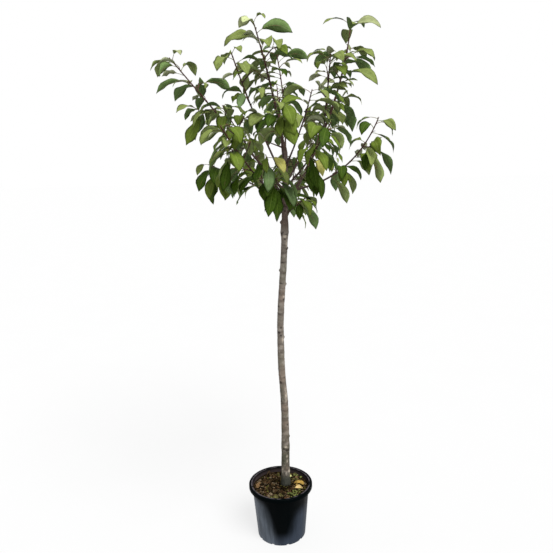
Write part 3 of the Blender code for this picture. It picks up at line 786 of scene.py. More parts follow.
def leaf_places(line, is_stem):
    """How far back from the tip each leaf stands, with the size of its blade."""
    length = length_of(line)
    if not is_stem:
        places = [(TIP_CLEAR + SPUR_SPACING * number, 1.0) for number in range(SPUR_LEAVES)]
        return [place for place in places if place[0] < length - FOOT_CLEAR]
    places = []
    for number, size in enumerate(TIP_SIZES):
        places.append((TIP_CLEAR + TIP_SPACING * number**TIP_OPENING, size))
    while places[-1][0] + LEAF_SPACING < length - FOOT_CLEAR:
        places.append((places[-1][0] + LEAF_SPACING, 1.0))
    return places


print(len(leaf_places(crown.stems["leader"], True)), "places for a leaf along the leader")

# %% Grow every mass
def grow_mass(shoot, crown):
    """The twigs and leaves of one mass."""
    rng = random.Random(shoot.seed)
    stem = Twig(crown.stems[shoot.name], radius_at(shoot, shoot.bare), tip_radius(shoot))
    twigs = [stem] + spur_twigs(shoot, stem, crown, rng)
    own = pieces_of([twig.points for twig in twigs])
    turn = rng.uniform(0, 2 * math.pi)
    leaves = []
    taken = np.empty((0, 3))
    for twig in twigs:
        for back, size in leaf_places(twig.points, twig is stem):
            for _ in range(TRIES):
                turn += LEAF_TURN
                leaf = new_leaf(twig.points, back, turn, size, rng)
                points = leaf_samples(leaf)
                if (
                    distances(points, own).min() > stem.thick + LIMB_CLEAR
                    and np.linalg.norm(points[:, None] - taken, axis=2).min(initial=1) > LEAF_CLEAR
                    and crown.off_limbs(root_samples(leaf), ROOT_CLEAR)
                    and crown.has_room(shoot.name, points)
                ):
                    leaves.append(leaf)
                    taken = np.vstack((taken, points))
                    break
    return twigs, leaves


grown = {shoot.name: grow_mass(shoot, crown) for shoot in SHOOTS}
print(sum(len(leaves) for _, leaves in grown.values()), "leaves on", len(grown), "shoots")

# %% [markdown]
# ## Finer twigs
#
# On the real tree some leaves stand on dwarf shoots a finger's breadth long, with a smaller
# young leaf beside the grown ones, and a shoot that still grows ends in a leaf that is just
# unfolding. The solids are too coarse for those. They are grown here by the same rule from
# their own draws, and only where they stay in the shoot's space and inside the solid's reach.

# %% How dwarf shoots and young leaves differ
FINER_SEED = 1000
DWARF_CHANCE = 0.34
DWARF_LENGTH = (0.008, 0.020)
DWARF_RADII = (0.0016, 0.0012)
DWARF_LEAN = 0.9
DWARFS_FROM_TIP = 0.03
DWARFS_FROM_FOOT = 0.015
YOUNG_CLEAR = 0.006
YOUNG_LEAVES = (1, 2)
YOUNG_SIZE = (0.50, 0.80)
YOUNG_PETIOLE = 0.6
YOUNG_RISE = 0.25
YOUNG_FALL = 0.35
YOUNG_BACK = 0.001
TIP_RISE = (0.9, 1.3)
TIP_DROP = (0.3, 0.9)
TIP_SIZE = (0.28, 0.46)
BARE_TIPS = ("leader", "left_long", "left_middle")
print("young leaves of", [round(100 * LEAF_LENGTH * size, 1) for size in YOUNG_SIZE], "cm")

# %% Grow dwarf shoots and young leaves
def inside(points, box):
    return (points > np.array(box[0])).all() and (points < np.array(box[1])).all()


def young_leaf(line, turn, size, rng):
    """A short leaf on a short petiole at a twig's tip, which hasn't come down yet."""
    leaf = new_leaf(line, YOUNG_BACK, turn, size, rng)
    return leaf._replace(
        petiole=leaf.petiole * YOUNG_PETIOLE,
        rise=leaf.rise + YOUNG_RISE,
        fall=leaf.fall + YOUNG_FALL,
    )


def grow_finer(shoot, crown, twigs, leaves):
    """The dwarf shoots and young leaves of one mass."""
    rng = random.Random(FINER_SEED + shoot.seed)
    node_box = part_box("leaves_" + shoot.name)
    taken = np.vstack([leaf_samples(leaf) for leaf in leaves])
    dwarfs, young = [], []

    def try_leaf(leaf):
        nonlocal taken
        points = leaf_samples(leaf)
        if (
            inside(points, node_box)
            and np.linalg.norm(points[:, None] - taken, axis=2).min() > YOUNG_CLEAR
            and crown.off_limbs(root_samples(leaf), ROOT_CLEAR)
            and crown.has_room(shoot.name, points)
        ):
            young.append(leaf)
            taken = np.vstack((taken, points))

    for twig in twigs:
        length = length_of(twig.points)
        turn = rng.uniform(0, 2 * math.pi)
        for back in np.arange(DWARFS_FROM_TIP, length - DWARFS_FROM_FOOT, LEAF_SPACING / 2):
            if rng.random() > DWARF_CHANCE:
                continue
            foot, ahead = place_on(twig.points, back)
            turn = rng.uniform(0, 2 * math.pi)
            run = outward(ahead, turn, DWARF_LEAN) * rng.uniform(*DWARF_LENGTH)
            dwarf = Twig(foot + run * np.linspace(0, 1, 4)[:, None], *DWARF_RADII)
            dwarfs.append(dwarf)
            for _ in range(rng.randint(*YOUNG_LEAVES)):
                turn += LEAF_TURN
                try_leaf(young_leaf(dwarf.points, turn, rng.uniform(*YOUNG_SIZE), rng))
        if shoot.name not in BARE_TIPS:
            leaf = young_leaf(twig.points, turn, rng.uniform(*TIP_SIZE), rng)
            rise = rng.uniform(*TIP_RISE)
            try_leaf(leaf._replace(rise=rise, fall=rise - rng.uniform(*TIP_DROP)))
    return dwarfs, young


finer = {shoot.name: grow_finer(shoot, crown, *grown[shoot.name]) for shoot in SHOOTS}
print(sum(len(dwarfs) for dwarfs, _ in finer.values()), "dwarf shoots with",
      sum(len(young) for _, young in finer.values()), "young leaves")

# %% [markdown]
# ## Rolling limbs
#
# A limb is a long tapering tube whose surface isn't smooth. A curve with a bevel would give the
# tube, but no relief. Here a flat sheet of faces is rolled round the limb's line, seam merged,
# with the bark's relief added to the radius at each point.

# %% Roll a sheet round a line
def ring_frames(line):
    """Two directions across the line at each of its points, which don't twist along it."""
    ahead = np.gradient(line, axis=0)
    ahead /= np.linalg.norm(ahead, axis=1)[:, None]
    across = [unit(np.cross(ahead[0], ASIDE))]
    for direction in ahead[1:]:
        across.append(unit(across[-1] - direction * (across[-1] @ direction)))
    return np.array(across), np.cross(ahead, across)


def limb_places(line, radii, sides, frames=None):
    """The points of the smooth limb, by ring and side, and the direction outwards at each."""
    across, other = frames or ring_frames(line)
    turns = 2 * math.pi * np.arange(sides)[:, None] / sides
    out = np.cos(turns) * across[:, None] + np.sin(turns) * other[:, None]
    return line[:, None] + out * np.asarray(radii)[:, None, None], out


def roll_limb(work, places, paint=None):
    """Rolls a sheet into a limb. paint holds, by name, a number for each ring and side."""
    rings, sides, _ = places.shape
    sheet = bmesh.ops.create_grid(work, x_segments=sides, y_segments=rings - 1, size=0.5)["verts"]
    layers = {name: work.verts.layers.float[name] for name in paint or ()}
    for index, vert in enumerate(sheet):
        ring, side = divmod(index, sides + 1)
        vert.co = places[ring, side % sides]
        for name, layer in layers.items():
            vert[layer] = paint[name][ring, side % sides]
    bmesh.ops.remove_doubles(work, verts=sheet, dist=MERGE_DISTANCE)


def noise_over(places, scale, offset=0.0):
    """Noise from -1 to 1 at each of an array's points. scale is one number, or one per axis."""
    flat = places.reshape(-1, 3) * scale + offset
    return np.array([noise.noise(Vector(place)) for place in flat]).reshape(places.shape[:-1])


trial_bumps = noise_over(np.random.default_rng(1).random((200, 3)), 38)
print("noise from", round(trial_bumps.min(), 2), "to", round(trial_bumps.max(), 2))

# %% [markdown]
# ## The trunk
#
# Cherry bark is smooth and grey-brown, with corky dashes that run round it, called lenticels.
# This trunk was pruned as it grew, so it has knobs and oval scars where side shoots were cut,
# ring marks between the years, swollen graft unions, and fissures and a lobed flare at its foot.
#
# All of these could be bump alone, but the knobs show in the outline. So relief goes into the
# mesh, with a ring every 2 mm, and the finest grain into the material.

# %% The trunk's rings
TRUNK_RINGS = 720
TRUNK_SIDES = 44
FOOT_DEPTH = 0.006
CROWN_SHOULDER = 0.010
CROWN_ROUNDING = 0.92

trunk_heights = np.linspace(SOIL_HEIGHT - FOOT_DEPTH, TRUNK_TOP, TRUNK_RINGS)
trunk_line = np.array([trunk_point(height) for height in trunk_heights])
trunk_radii = np.array([trunk_radius(height) for height in trunk_heights])
shoulder = np.clip((trunk_heights - TRUNK_TOP + CROWN_SHOULDER) / CROWN_SHOULDER, 0, 1)
trunk_radii *= np.sqrt(1 - CROWN_ROUNDING * shoulder**2)
level = (np.tile((1.0, 0, 0), (TRUNK_RINGS, 1)), np.tile((0, 1.0, 0), (TRUNK_RINGS, 1)))
trunk_places, trunk_out = limb_places(trunk_line, trunk_radii, TRUNK_SIDES, level)
print("trunk rings every", round(1000 * (trunk_heights[1] - trunk_heights[0]), 2), "mm")

# %% Marks of pruning and growth
# Height, place across the front as a share of the radius, width and height of each knob
KNOBS = (
    (1.396, -1.0, 0.0075, 0.0052),
    (1.290, 0.95, 0.0050, 0.0030),
    (1.198, -1.0, 0.0062, 0.0042),
    (1.140, 0.97, 0.0058, 0.0036),
    (0.910, 1.00, 0.0060, 0.0032),
    (0.736, 0.63, 0.0055, 0.0022),
    (0.460, 0.98, 0.0060, 0.0026),
    (0.406, 0.60, 0.0085, 0.0034),
)
# Height, place, width and half height of each scar
SCARS = (
    (1.350, -0.80, 0.0080, 0.0060),
    (1.329, 0.05, 0.0040, 0.0036),
    (1.288, 0.72, 0.0055, 0.0044),
    (1.075, 0.72, 0.0060, 0.0044),
    (1.045, -0.75, 0.0050, 0.0040),
    (0.955, 0.15, 0.0046, 0.0044),
    (0.932, -0.45, 0.0070, 0.0052),
    (0.921, 0.10, 0.0052, 0.0044),
    (0.768, -0.90, 0.0030, 0.0060),
    (0.711, -0.55, 0.0042, 0.0052),
    (0.626, -0.75, 0.0044, 0.0034),
    (0.518, 0.60, 0.0050, 0.0034),
    (0.405, -0.38, 0.0058, 0.0040),
    (0.402, 0.36, 0.0080, 0.0054),
    (0.384, 0.62, 0.0036, 0.0046),
)
# The same and the paleness of each patch where bark healed over
HEALED = (
    (1.339, 0.08, 0.0062, 0.0056, 1.4),
    (1.310, 0.60, 0.0026, 0.0160, 1.0),
    (1.298, 0.74, 0.0036, 0.0036, 1.0),
    (1.087, 0.60, 0.0030, 0.0050, 1.0),
    (0.900, 0.60, 0.0040, 0.0080, 1.0),
    (0.660, 0.60, 0.0050, 0.0260, 0.8),
    (0.416, 0.05, 0.0070, 0.0034, 0.8),
    (0.372, 0.36, 0.0034, 0.0060, 0.6),
    (0.348, 0.42, 0.0036, 0.0080, 0.6),
    (0.305, -0.75, 0.0050, 0.0120, 0.9),
    (0.300, 0.85, 0.0044, 0.0120, 0.9),
    (0.294, 0.22, 0.0036, 0.0040, 0.5),
)
# Height, place, reach to each side, half height and darkness of the rings between the years
YEAR_RINGS = (
    (1.348, 0.00, 0.016, 0.0044, 0.9),
    (1.232, -0.30, 0.017, 0.0040, 1.0),
    (1.186, 0.50, 0.010, 0.0022, 0.4),
    (1.145, -0.45, 0.011, 0.0034, 1.0),
    (1.016, 0.00, 0.060, 0.0030, 0.9),
    (0.843, 0.45, 0.009, 0.0024, 0.8),
    (0.772, 0.00, 0.060, 0.0024, 0.4),
    (0.735, 0.70, 0.008, 0.0024, 0.6),
    (0.620, 0.10, 0.050, 0.0026, 0.7),
    (0.582, -0.10, 0.040, 0.0050, 0.4),
    (0.463, -0.20, 0.012, 0.0024, 0.3),
)
# Height, place, width and half height of rosy stretches, and of greenish ones that are partly
# painted shade along the trunk's edges
ROSY = (
    (1.095, 0.00, 0.050, 0.032),
    (0.742, -0.10, 0.050, 0.030),
    (0.595, 0.00, 0.050, 0.022),
    (0.500, 0.00, 0.040, 0.040),
    (0.455, -0.05, 0.010, 0.014),
    (0.312, 0.10, 0.008, 0.008),
)
GREEN_AND_SHADE = (
    (1.250, 0.00, 0.030, 0.008),
    (1.185, -0.20, 0.040, 0.036),
    (0.665, -0.75, 0.013, 0.034),
    (0.440, -0.90, 0.008, 0.020),
    (0.360, -0.60, 0.016, 0.036),
    (0.380, 0.95, 0.007, 0.030),
    (0.480, -0.95, 0.008, 0.100),
)
print(len(KNOBS + SCARS + HEALED + YEAR_RINGS), "marks at the front")

# %% Lay the marks out round the trunk
MARK_SEED = 5
BACK_MARKS = 7
BACK_HEIGHTS = (0.35, 1.30)
BACK_TURNS = (0.15 * math.pi, 0.85 * math.pi)
BACK_KNOB = (0.0058, 0.0026)
BACK_SCAR = (0.0050, 0.0034)


def front_turn(share):
    """The turn round the trunk of a place seen this far across its front."""
    return math.atan2(-math.sqrt(max(1 - share**2, 0)), share)


turns = 2 * math.pi * np.arange(TRUNK_SIDES) / TRUNK_SIDES


def dab(height, turn, width, tall):
    """A soft dab on the trunk: 1 at its middle, by ring and side. width is in metres."""
    side = (turns - turn + math.pi) % (2 * math.pi) - math.pi
    reach = side[None] * trunk_radii[:, None] / width
    return np.exp(-(reach**2) - ((trunk_heights[:, None] - height) / tall) ** 2)


mark_draws = random.Random(MARK_SEED)
knobs = [(height, front_turn(share), width, tall) for height, share, width, tall in KNOBS]
scars = [(height, front_turn(share), width, tall) for height, share, width, tall in SCARS]
for number in range(BACK_MARKS):
    height = BACK_HEIGHTS[0] + (number + mark_draws.random()) / BACK_MARKS
    turn = mark_draws.uniform(*BACK_TURNS)
    if number % 2:
        knobs.append((height, turn, *BACK_KNOB))
    else:
        scars.append((height, turn, *BACK_SCAR))
print(len(knobs), "knobs and", len(scars), "scars")

# %% The bark's relief
LUMP = 0.0008
LUMP_SCALE = 38
GRAIN = 0.00028
GRAIN_SCALE = (170, 170, 330)
RIPPLE = 0.0003
RIPPLE_SCALE = (18, 18, 210)
FISSURE = 0.0011
FISSURE_SCALE = (150, 150, 26)
FISSURE_WIDTH = 0.10
OLD_WOOD_TOP = 0.62
OLD_WOOD_FADE = 0.40
FLARE_LOBE = 0.0014
LOBE_HEIGHT = 0.028

relief = LUMP * noise_over(trunk_places, LUMP_SCALE) + GRAIN * noise_over(trunk_places, GRAIN_SCALE)
relief += RIPPLE * noise_over(trunk_places, RIPPLE_SCALE, 7.0)
old_wood = np.clip((OLD_WOOD_TOP - trunk_heights) / OLD_WOOD_FADE, 0, 1)[:, None]
crack_noise = noise_over(trunk_places, FISSURE_SCALE, 3.0)
relief -= FISSURE * old_wood * np.clip(1 - np.abs(crack_noise) / FISSURE_WIDTH, 0, 1)
flare = np.exp(-np.clip(trunk_heights - SOIL_HEIGHT, 0, 1) / LOBE_HEIGHT)[:, None]
relief += FLARE_LOBE * flare * (np.cos(3 * turns + 0.7) + 0.5 * np.cos(5 * turns + 2.1))[None]
print("relief from", round(1000 * relief.min(), 2), "to", round(1000 * relief.max(), 2), "mm")

# %% Press the marks into the relief
LENTICELS = 420
LENTICEL_HEIGHTS = (0.30, 1.66)
LENTICEL_WIDTH = (0.0022, 0.0055)
LENTICEL_TALL = 0.0013
LENTICEL_RISE = 0.00042
KNOB_TALL = 0.85
KNOB_FLAT = 1.25
SCAR_LIP = 0.0015
SCAR_LIP_SIZE = 1.6
SCAR_DEPTH = 0.0019
HEALED_RISE = 0.0004
RING_RISE = 0.0007
RING_WANDER = 0.0012
# The lower edge of the high union
EDGE_HEIGHT = 1.356
EDGE_WANDER = 0.004
EDGE_REACH = 0.006
EDGE_RISE = 0.0010

cork = np.zeros_like(relief)
wound = np.zeros_like(relief)
healed = np.zeros_like(relief)
for _ in range(LENTICELS):
    height = mark_draws.uniform(*LENTICEL_HEIGHTS)
    turn = mark_draws.uniform(0, 2 * math.pi)
    mark = dab(height, turn, mark_draws.uniform(*LENTICEL_WIDTH), LENTICEL_TALL)
    relief += LENTICEL_RISE * mark
    cork = np.maximum(cork, mark)
for height, turn, width, tall in knobs:
    mark = dab(height, turn, width, width * KNOB_TALL)
    relief += tall * np.minimum(mark * KNOB_FLAT, 1)
    wound = np.maximum(wound, np.clip(mark * 2.2 - 1.2, 0, 1))
for height, turn, width, tall in scars:
    hollow = dab(height, turn, width, tall)
    lip = dab(height, turn, SCAR_LIP_SIZE * width, SCAR_LIP_SIZE * tall)
    relief += SCAR_LIP * lip - SCAR_DEPTH * hollow
    wound = np.maximum(wound, np.minimum(1.3 * hollow, 1))
for height, share, width, tall, pale in HEALED:
    mark = dab(height, front_turn(share), width, tall)
    relief += HEALED_RISE * mark
    healed = np.maximum(healed, pale * mark)
healed = np.clip(healed * (1.0 + 1.3 * noise_over(trunk_places, 150, 9.0)), 0, 1)
broken = np.clip(0.75 + 1.5 * noise_over(trunk_places, (80, 80, 150), 5.0), 0.2, 1.1)
for height, share, width, tall, dark in YEAR_RINGS:
    wander = RING_WANDER * (np.cos(turns) + np.sin(3 * turns + height * 90))[None]
    ring = dab(height + wander, front_turn(share), width, tall)
    relief += RING_RISE * ring
    wound = np.maximum(wound, np.clip(dark * broken * ring, 0, 1))
off_edge = trunk_heights[:, None] - EDGE_HEIGHT + EDGE_WANDER * np.sin(2 * turns + 0.6)[None]
edge = np.exp(-((off_edge / EDGE_REACH) ** 2))
relief += EDGE_RISE * edge
wound = np.maximum(wound, edge * np.clip(0.45 + 1.6 * noise_over(trunk_places, 70, 2.0), 0, 0.9))
wound *= 1 - 0.9 * healed
print("with marks from", round(1000 * relief.min(), 2), "to", round(1000 * relief.max(), 2), "mm")

# %% Rosy stretches, and greenish ones that are partly painted shade
BACK_TONES = 5
TONE_TURNS = (0.2 * math.pi, 0.8 * math.pi)
TONE_SIZE = (0.02, 0.03)
TONE_SCALE = (60, 60, 40)


def tones(places):
    """Soft stretches of one colour with wandering edges, also some at the back."""
    tone = np.zeros(trunk_places.shape[:2])
    for height, share, width, tall in places:
        tone = np.maximum(tone, dab(height, front_turn(share), width, tall))
    for _ in range(BACK_TONES):
        turn = mark_draws.uniform(*TONE_TURNS)
        tone = np.maximum(tone, dab(mark_draws.uniform(*BACK_HEIGHTS), turn, *TONE_SIZE))
    return np.clip(tone * (1.2 + 1.2 * noise_over(trunk_places, TONE_SCALE, 12.0)), 0, 1)


# The greenish stretches are partly painted shade along the trunk's edges
rosy, green = tones(ROSY), tones(GREEN_AND_SHADE)
print(round(100 * rosy.mean()), "% of the bark is rosy and", round(100 * green.mean()), "% green")

# %% [markdown]
# The bark turns black at its foot, and darker towards the compost. Above that its colour follows
# its age: greenish with algae, grey-brown with silvery patches and dark bands up the stem, and
# still red-brown above the high union. The cuts are dark, patches that healed over are pale, and
# the lenticels a corky brown. Those are painted on the mesh, point by point.

# %% Cherry bark
OLD_BARK = (0.079, 0.065, 0.052)
NEW_BARK = (0.150, 0.130, 0.110)


def cherry_bark():
    bark = Recipe("cherry bark", (0.10, 0.085, 0.07), 0.8, 0.10)
    height = bark.part(bark.place(), 2)
    bands = bark.mask(bark.speckle(9, 5, (1, 1, 6)), 0.44, 0.64)
    silver = bark.mask(bark.speckle(55, 5, (1, 1, 0.7)), 0.48, 0.66)
    moss = bark.mask(bark.speckle(6, 2), 0.46, 0.58)
    grain = bark.speckle(420, 4, (1, 1, 2))
    algae = (1 - bark.mask(height, 0.30, 0.66)) * bark.mask(bark.speckle(34, 4), 0.36, 0.58)
    # Darker towards the bottom, and black just above the compost
    low_darkening = 1 - bark.mask(height + bark.speckle(60, 3) * 0.04, 0.276, 0.318)
    foot_darkening = 1 - bark.mask(height + bark.speckle(90, 3) * 0.03, 0.238, 0.262)
    young = bark.mask(height, 1.345, 1.40)
    patches = bark.mask(bark.speckle(150, 3, (1, 1, 0.6)), 0.46, 0.62)
    patches = patches * (1 - bark.mask(height, 0.36, 0.52))
    color = bark.mix(bark.mask(height, 0.60, 1.20), OLD_BARK, NEW_BARK)
    for mask, share, tint in (
        (moss, 0.35, (0.110, 0.108, 0.078)),
        (bark.painted("rosy"), 0.40, (0.172, 0.118, 0.094)),
        # Greenish stretches, partly painted shade along the trunk's edges
        (bark.painted("green"), 0.60, (0.072, 0.074, 0.050)),
        (silver, 0.50, (0.245, 0.218, 0.190)),
        (bands, 0.60, (0.044, 0.035, 0.028)),
        (young, 0.80, (0.060, 0.038, 0.031)),
        (algae, 0.72, (0.042, 0.044, 0.028)),
        (patches, 0.60, (0.024, 0.022, 0.017)),
        (low_darkening, 0.88, (0.018, 0.021, 0.016)),
        (foot_darkening, 0.85, (0.004, 0.003, 0.002)),
        (bark.painted("cork"), 0.50, (0.14, 0.10, 0.07)),
        (bark.painted("healed"), 0.80, (0.38, 0.33, 0.27)),
        (bark.painted("wound"), 0.90, (0.016, 0.012, 0.010)),
        (bark.mask(grain, 0.50, 0.75), 0.45, (0.03, 0.024, 0.020)),
    ):
        color = bark.mix(mask * share, color, tint)
    finish = {"Base Color": color, "Roughness": 0.62 + grain * 0.3}
    return bark.finish(finish, grain + bark.speckle(90, 3, (1, 1, 3)) * 2, 0.0006)


trunk_marks = {"cork": cork, "healed": healed, "wound": wound, "rosy": rosy, "green": green}
trunk_work = bmesh.new()
for name in trunk_marks:
    trunk_work.verts.layers.float.new(name)
roll_limb(trunk_work, trunk_places + trunk_out * relief[..., None], trunk_marks)
close_up(trunk_work)
add_piece("trunk_bark", trunk_work, [cherry_bark()], "bark", "trunk")

# %% [markdown]
# ## Boughs and their stems
#
# A long shoot swells into a collar where it leaves the trunk, thickens a little at every leaf,
# and thins to its tip without a break. So each shoot is one limb here, bough and leafy stem
# together, although the CAD model has a joint between them. The solids are stout enough to
# carry their leaves, and the real shoots are a little thinner.

# %% Roll the shoots
SHOOT_STEP = 0.003
SHOOT_SIDES = 12
SLENDER = 0.84
COLLAR_SHARE = 0.60
COLLAR_REACH = 0.009
NODE_SWELLING = 0.0004
NODE_REACH = 0.0035
AXIS_POINTS = 60
TIP_ROUNDING = (0.92, 0.75, 0.35)
WRINKLE = 0.00022
WRINKLE_SCALE = 420
UNEVEN = 0.05
UNEVEN_SCALE = 140
# Age at the foot, and how much of it is lost along the shoot
FOOT_AGE = 1.15
AGE_LOSS = 1.5


def parent_surface(shoot, line):
    """How far each point of the shoot's line stands off the surface of what carries it."""
    if shoot.parent == "trunk":
        heights = np.linspace(LOWEST_LEAF, TRUNK_TOP, AXIS_POINTS)
        axis = np.array([trunk_point(height) for height in heights])
        radius = trunk_radius(shoot.foot)
    else:
        parent = next(other for other in SHOOTS if other.name == shoot.parent)
        axis = shoot_line(parent, np.linspace(0, 1, AXIS_POINTS))
        radius = radius_at(parent, shoot.foot)
    return distances(line, pieces_of([axis])).min(1) - radius


shoot_work = bmesh.new()
shoot_work.verts.layers.float.new("age")
for number, shoot in enumerate(SHOOTS):
    length = length_of(shoot_line(shoot, np.linspace(0, 1, LINE_POINTS)))
    shares = np.linspace(0, 1, int(length / SHOOT_STEP))
    line = shoot_line(shoot, shares)
    radii = SLENDER * np.array([radius_at(shoot, share) for share in shares])
    clear = np.clip(parent_surface(shoot, line), 0, 1)
    radii += COLLAR_SHARE * shoot.thick * np.exp(-clear / COLLAR_REACH)
    roots = np.array([leaf.root for leaf in grown[shoot.name][1]])
    nearest = np.linalg.norm(line[:, None] - roots, axis=2).min(1)
    radii += NODE_SWELLING * np.exp(-((nearest / NODE_REACH) ** 2))
    radii[-3:] *= TIP_ROUNDING
    places, out = limb_places(line, radii, SHOOT_SIDES)
    along = shares * length * WRINKLE_SCALE
    wrinkles = np.array([noise.noise(Vector((place, number, 0))) for place in along])
    rough = WRINKLE * wrinkles[:, None]
    rough = rough + UNEVEN * radii[:, None] * noise_over(places, UNEVEN_SCALE)
    ages = np.clip(FOOT_AGE - shares * AGE_LOSS, 0, 1)
    age = np.repeat(ages[:, None], SHOOT_SIDES, axis=1)
    roll_limb(shoot_work, places + out * rough[..., None], {"age": age})
close_up(shoot_work)
print(len(shoot_work.verts), "points on the shoots")

# %% [markdown]
# Young cherry bark is a dark, slightly glossy red-brown under a grey skin that comes away in
# patches, with small pale lenticels. Towards the tip it is fresher and redder. A number painted
# along each shoot says how old the wood is.

# %% Young bark
def young_bark(name, painted_age):
    bark = Recipe(name, (0.04, 0.02, 0.016), 0.5, 0.06)
    age = bark.painted("age") if painted_age else bark.speckle(20)
    skin = bark.mask(bark.speckle(70, 4), 0.48, 0.68)
    dots = bark.node("ShaderNodeTexVoronoi", {}, {"Vector": bark.place(), "Scale": 330}, 0)
    lenticels = 1 - bark.mask(dots, 0.10, 0.22)
    color = bark.mix(age, (0.042, 0.015, 0.012), (0.040, 0.026, 0.021))
    color = bark.mix(skin * 0.40, color, (0.078, 0.064, 0.055))
    color = bark.mix(lenticels * 0.45, color, (0.14, 0.10, 0.07))
    finish = {"Base Color": color, "Roughness": 0.38 + skin * 0.35}
    return bark.finish(finish, skin + lenticels, 0.0003)


boughs = ["bough_" + shoot.name for shoot in SHOOTS if shoot.bare]
add_piece("shoots_bark", shoot_work, [young_bark("young bark", True)], "young_bark", *boughs)

# %% [markdown]
# ## Spurs and dwarf shoots
#
# A fruit spur grows only a few millimetres a year, so it is all ring scars: short, knobbly and
# wrinkled. Both kinds are rolled as limbs with strong wrinkles along them.

# %% Roll the spurs
# Rings, sides and depth of the wrinkles
SPUR_DETAIL = (16, 9, 0.0005)
DWARF_DETAIL = (8, 7, 0.0003)
RING_SCARS = 620
TWIG_UNEVEN = 0.08
TWIG_UNEVEN_SCALE = 200
TWIG_SWELLING = 0.35
SWELLING_FADE = 9
TWIG_TIP = (0.95, 0.45)


def twig_limb(work, twig, rings, sides, wrinkle):
    """A short wrinkled twig, swollen at its foot and rounded at its tip."""
    shares = np.linspace(0, 1, rings)
    steps = np.linspace(0, 1, len(twig.points))
    line = np.stack([np.interp(shares, steps, twig.points[:, axis]) for axis in range(3)], axis=1)
    radii = twig.thick + (twig.thin - twig.thick) * shares
    radii += TWIG_SWELLING * twig.thick * np.exp(-shares * SWELLING_FADE)
    radii[-2:] *= TWIG_TIP
    places, out = limb_places(line, radii, sides)
    uneven = TWIG_UNEVEN * radii[:, None] * noise_over(places, TWIG_UNEVEN_SCALE)
    rough = wrinkle * noise_over(places, RING_SCARS) + uneven
    roll_limb(work, places + out * rough[..., None])


spur_work = bmesh.new()
for name, (twigs, _) in grown.items():
    for twig in twigs[1:]:
        twig_limb(spur_work, twig, *SPUR_DETAIL)
    for twig in finer[name][0]:
        twig_limb(spur_work, twig, *DWARF_DETAIL)
close_up(spur_work)
add_piece("spur_twigs", spur_work, [young_bark("spur bark", False)], "young_bark")

# %% [markdown]
# ## Leaves
#
# A cherry leaf is an oval, widest just beyond its middle, that narrows to a fine tip. It is
# folded along its midrib, arched down and waved along its edge. Thousands of points per leaf
# would be wasted from a step away, so one pattern of a few dozen faces is made: a grid with an
# underside that meets it at the edge. Every leaf is that pattern, narrowed to the outline and
# bent along the leaf's own arc.

# %% The leaf's pattern
STATIONS = 9
COLUMNS = 4
BLADE_THICKNESS = 0.0006
BROADER = 1.07
OUTLINE_ALONG = (0, 0.05, 0.15, 0.30, 0.45, 0.60, 0.75, 0.87, 0.95, 1)
OUTLINE_HALF = (0.02, 0.19, 0.46, 0.80, 0.98, 1.0, 0.78, 0.41, 0.14, 0)
AT_EDGE = 0.01
PATTERN_MERGE = 1e-5


def leaf_pattern():
    """A blade over a unit square: x across from -1 to 1, y along, z 0 on top and -1 below.

    Its faces point inwards. A leaf lays x to its left, which mirrors the blade and turns them out.
    """
    work = bmesh.new()
    top = bmesh.ops.create_grid(work, x_segments=COLUMNS, y_segments=STATIONS, size=0.5)["verts"]
    bmesh.ops.scale(work, verts=top, vec=(2, 1, 1))
    bmesh.ops.translate(work, verts=top, vec=(0, 0.5, 0))
    chart = work.loops.layers.uv.new("leaf")
    for face in work.faces:
        for loop in face.loops:
            loop[chart].uv = (loop.vert.co.x / 2 + 0.5, loop.vert.co.y)
    top_faces = work.faces[:]
    copy = bmesh.ops.duplicate(work, geom=top_faces)["geom"]
    under = [face for face in copy if isinstance(face, bmesh.types.BMFace)]
    bmesh.ops.reverse_faces(work, faces=top_faces)
    for face in under:
        face.material_index = 1
    for vert in {vert for face in under for vert in face.verts}:
        if abs(vert.co.x) < 1 - AT_EDGE and AT_EDGE < vert.co.y < 1 - AT_EDGE:
            vert.co.z = -1
    for end in (0, 1):
        end_verts = [vert for vert in work.verts if abs(vert.co.y - end) < AT_EDGE]
        bmesh.ops.pointmerge(work, verts=end_verts, merge_co=(0, end, 0))
    bmesh.ops.remove_doubles(work, verts=work.verts, dist=PATTERN_MERGE)
    return new_mesh("leaf_pattern", work)


pattern = leaf_pattern()
pattern_places = np.array([tuple(vert.co) for vert in pattern.vertices])
print(len(pattern.polygons), "faces in the leaf's pattern")

# %% How blades are bent
FOLD_RANGE = (0.28, 0.74)
YOUNG_FOLD = (0.6, 1.0)
CUP_RANGE = (0.05, 0.28)
WAVE_RANGE = (0.03, 0.13)
WAVE_COUNT = (1.2, 2.6)
TWIST_SPREAD = 0.40
HOOK_RANGE = (-0.03, 0.13)

Bend = namedtuple("Bend", "fold cup wave waves twist hook")


def draw_bend(rng, young):
    """How one leaf is folded, cupped, waved along its edge, twisted, and hooked at its tip."""
    return Bend(
        fold=rng.uniform(*(YOUNG_FOLD if young else FOLD_RANGE)),
        cup=rng.uniform(*CUP_RANGE),
        wave=rng.uniform(*WAVE_RANGE),
        waves=(rng.uniform(*WAVE_COUNT), rng.uniform(0, 2 * math.pi)),
        twist=rng.gauss(0, TWIST_SPREAD),
        hook=rng.uniform(*HOOK_RANGE),
    )


trial_bend = draw_bend(random.Random(1), False)
print("the trial leaf is folded", round(math.degrees(trial_bend.fold)), "degrees")

# %% Bend the pattern into a leaf
FOLD_EASE = 0.45
EDGE_SHIFT = 1.3
EDGE_EASE = 1.5
HOOK_START = 0.54
HOOK_REACH = 0.45


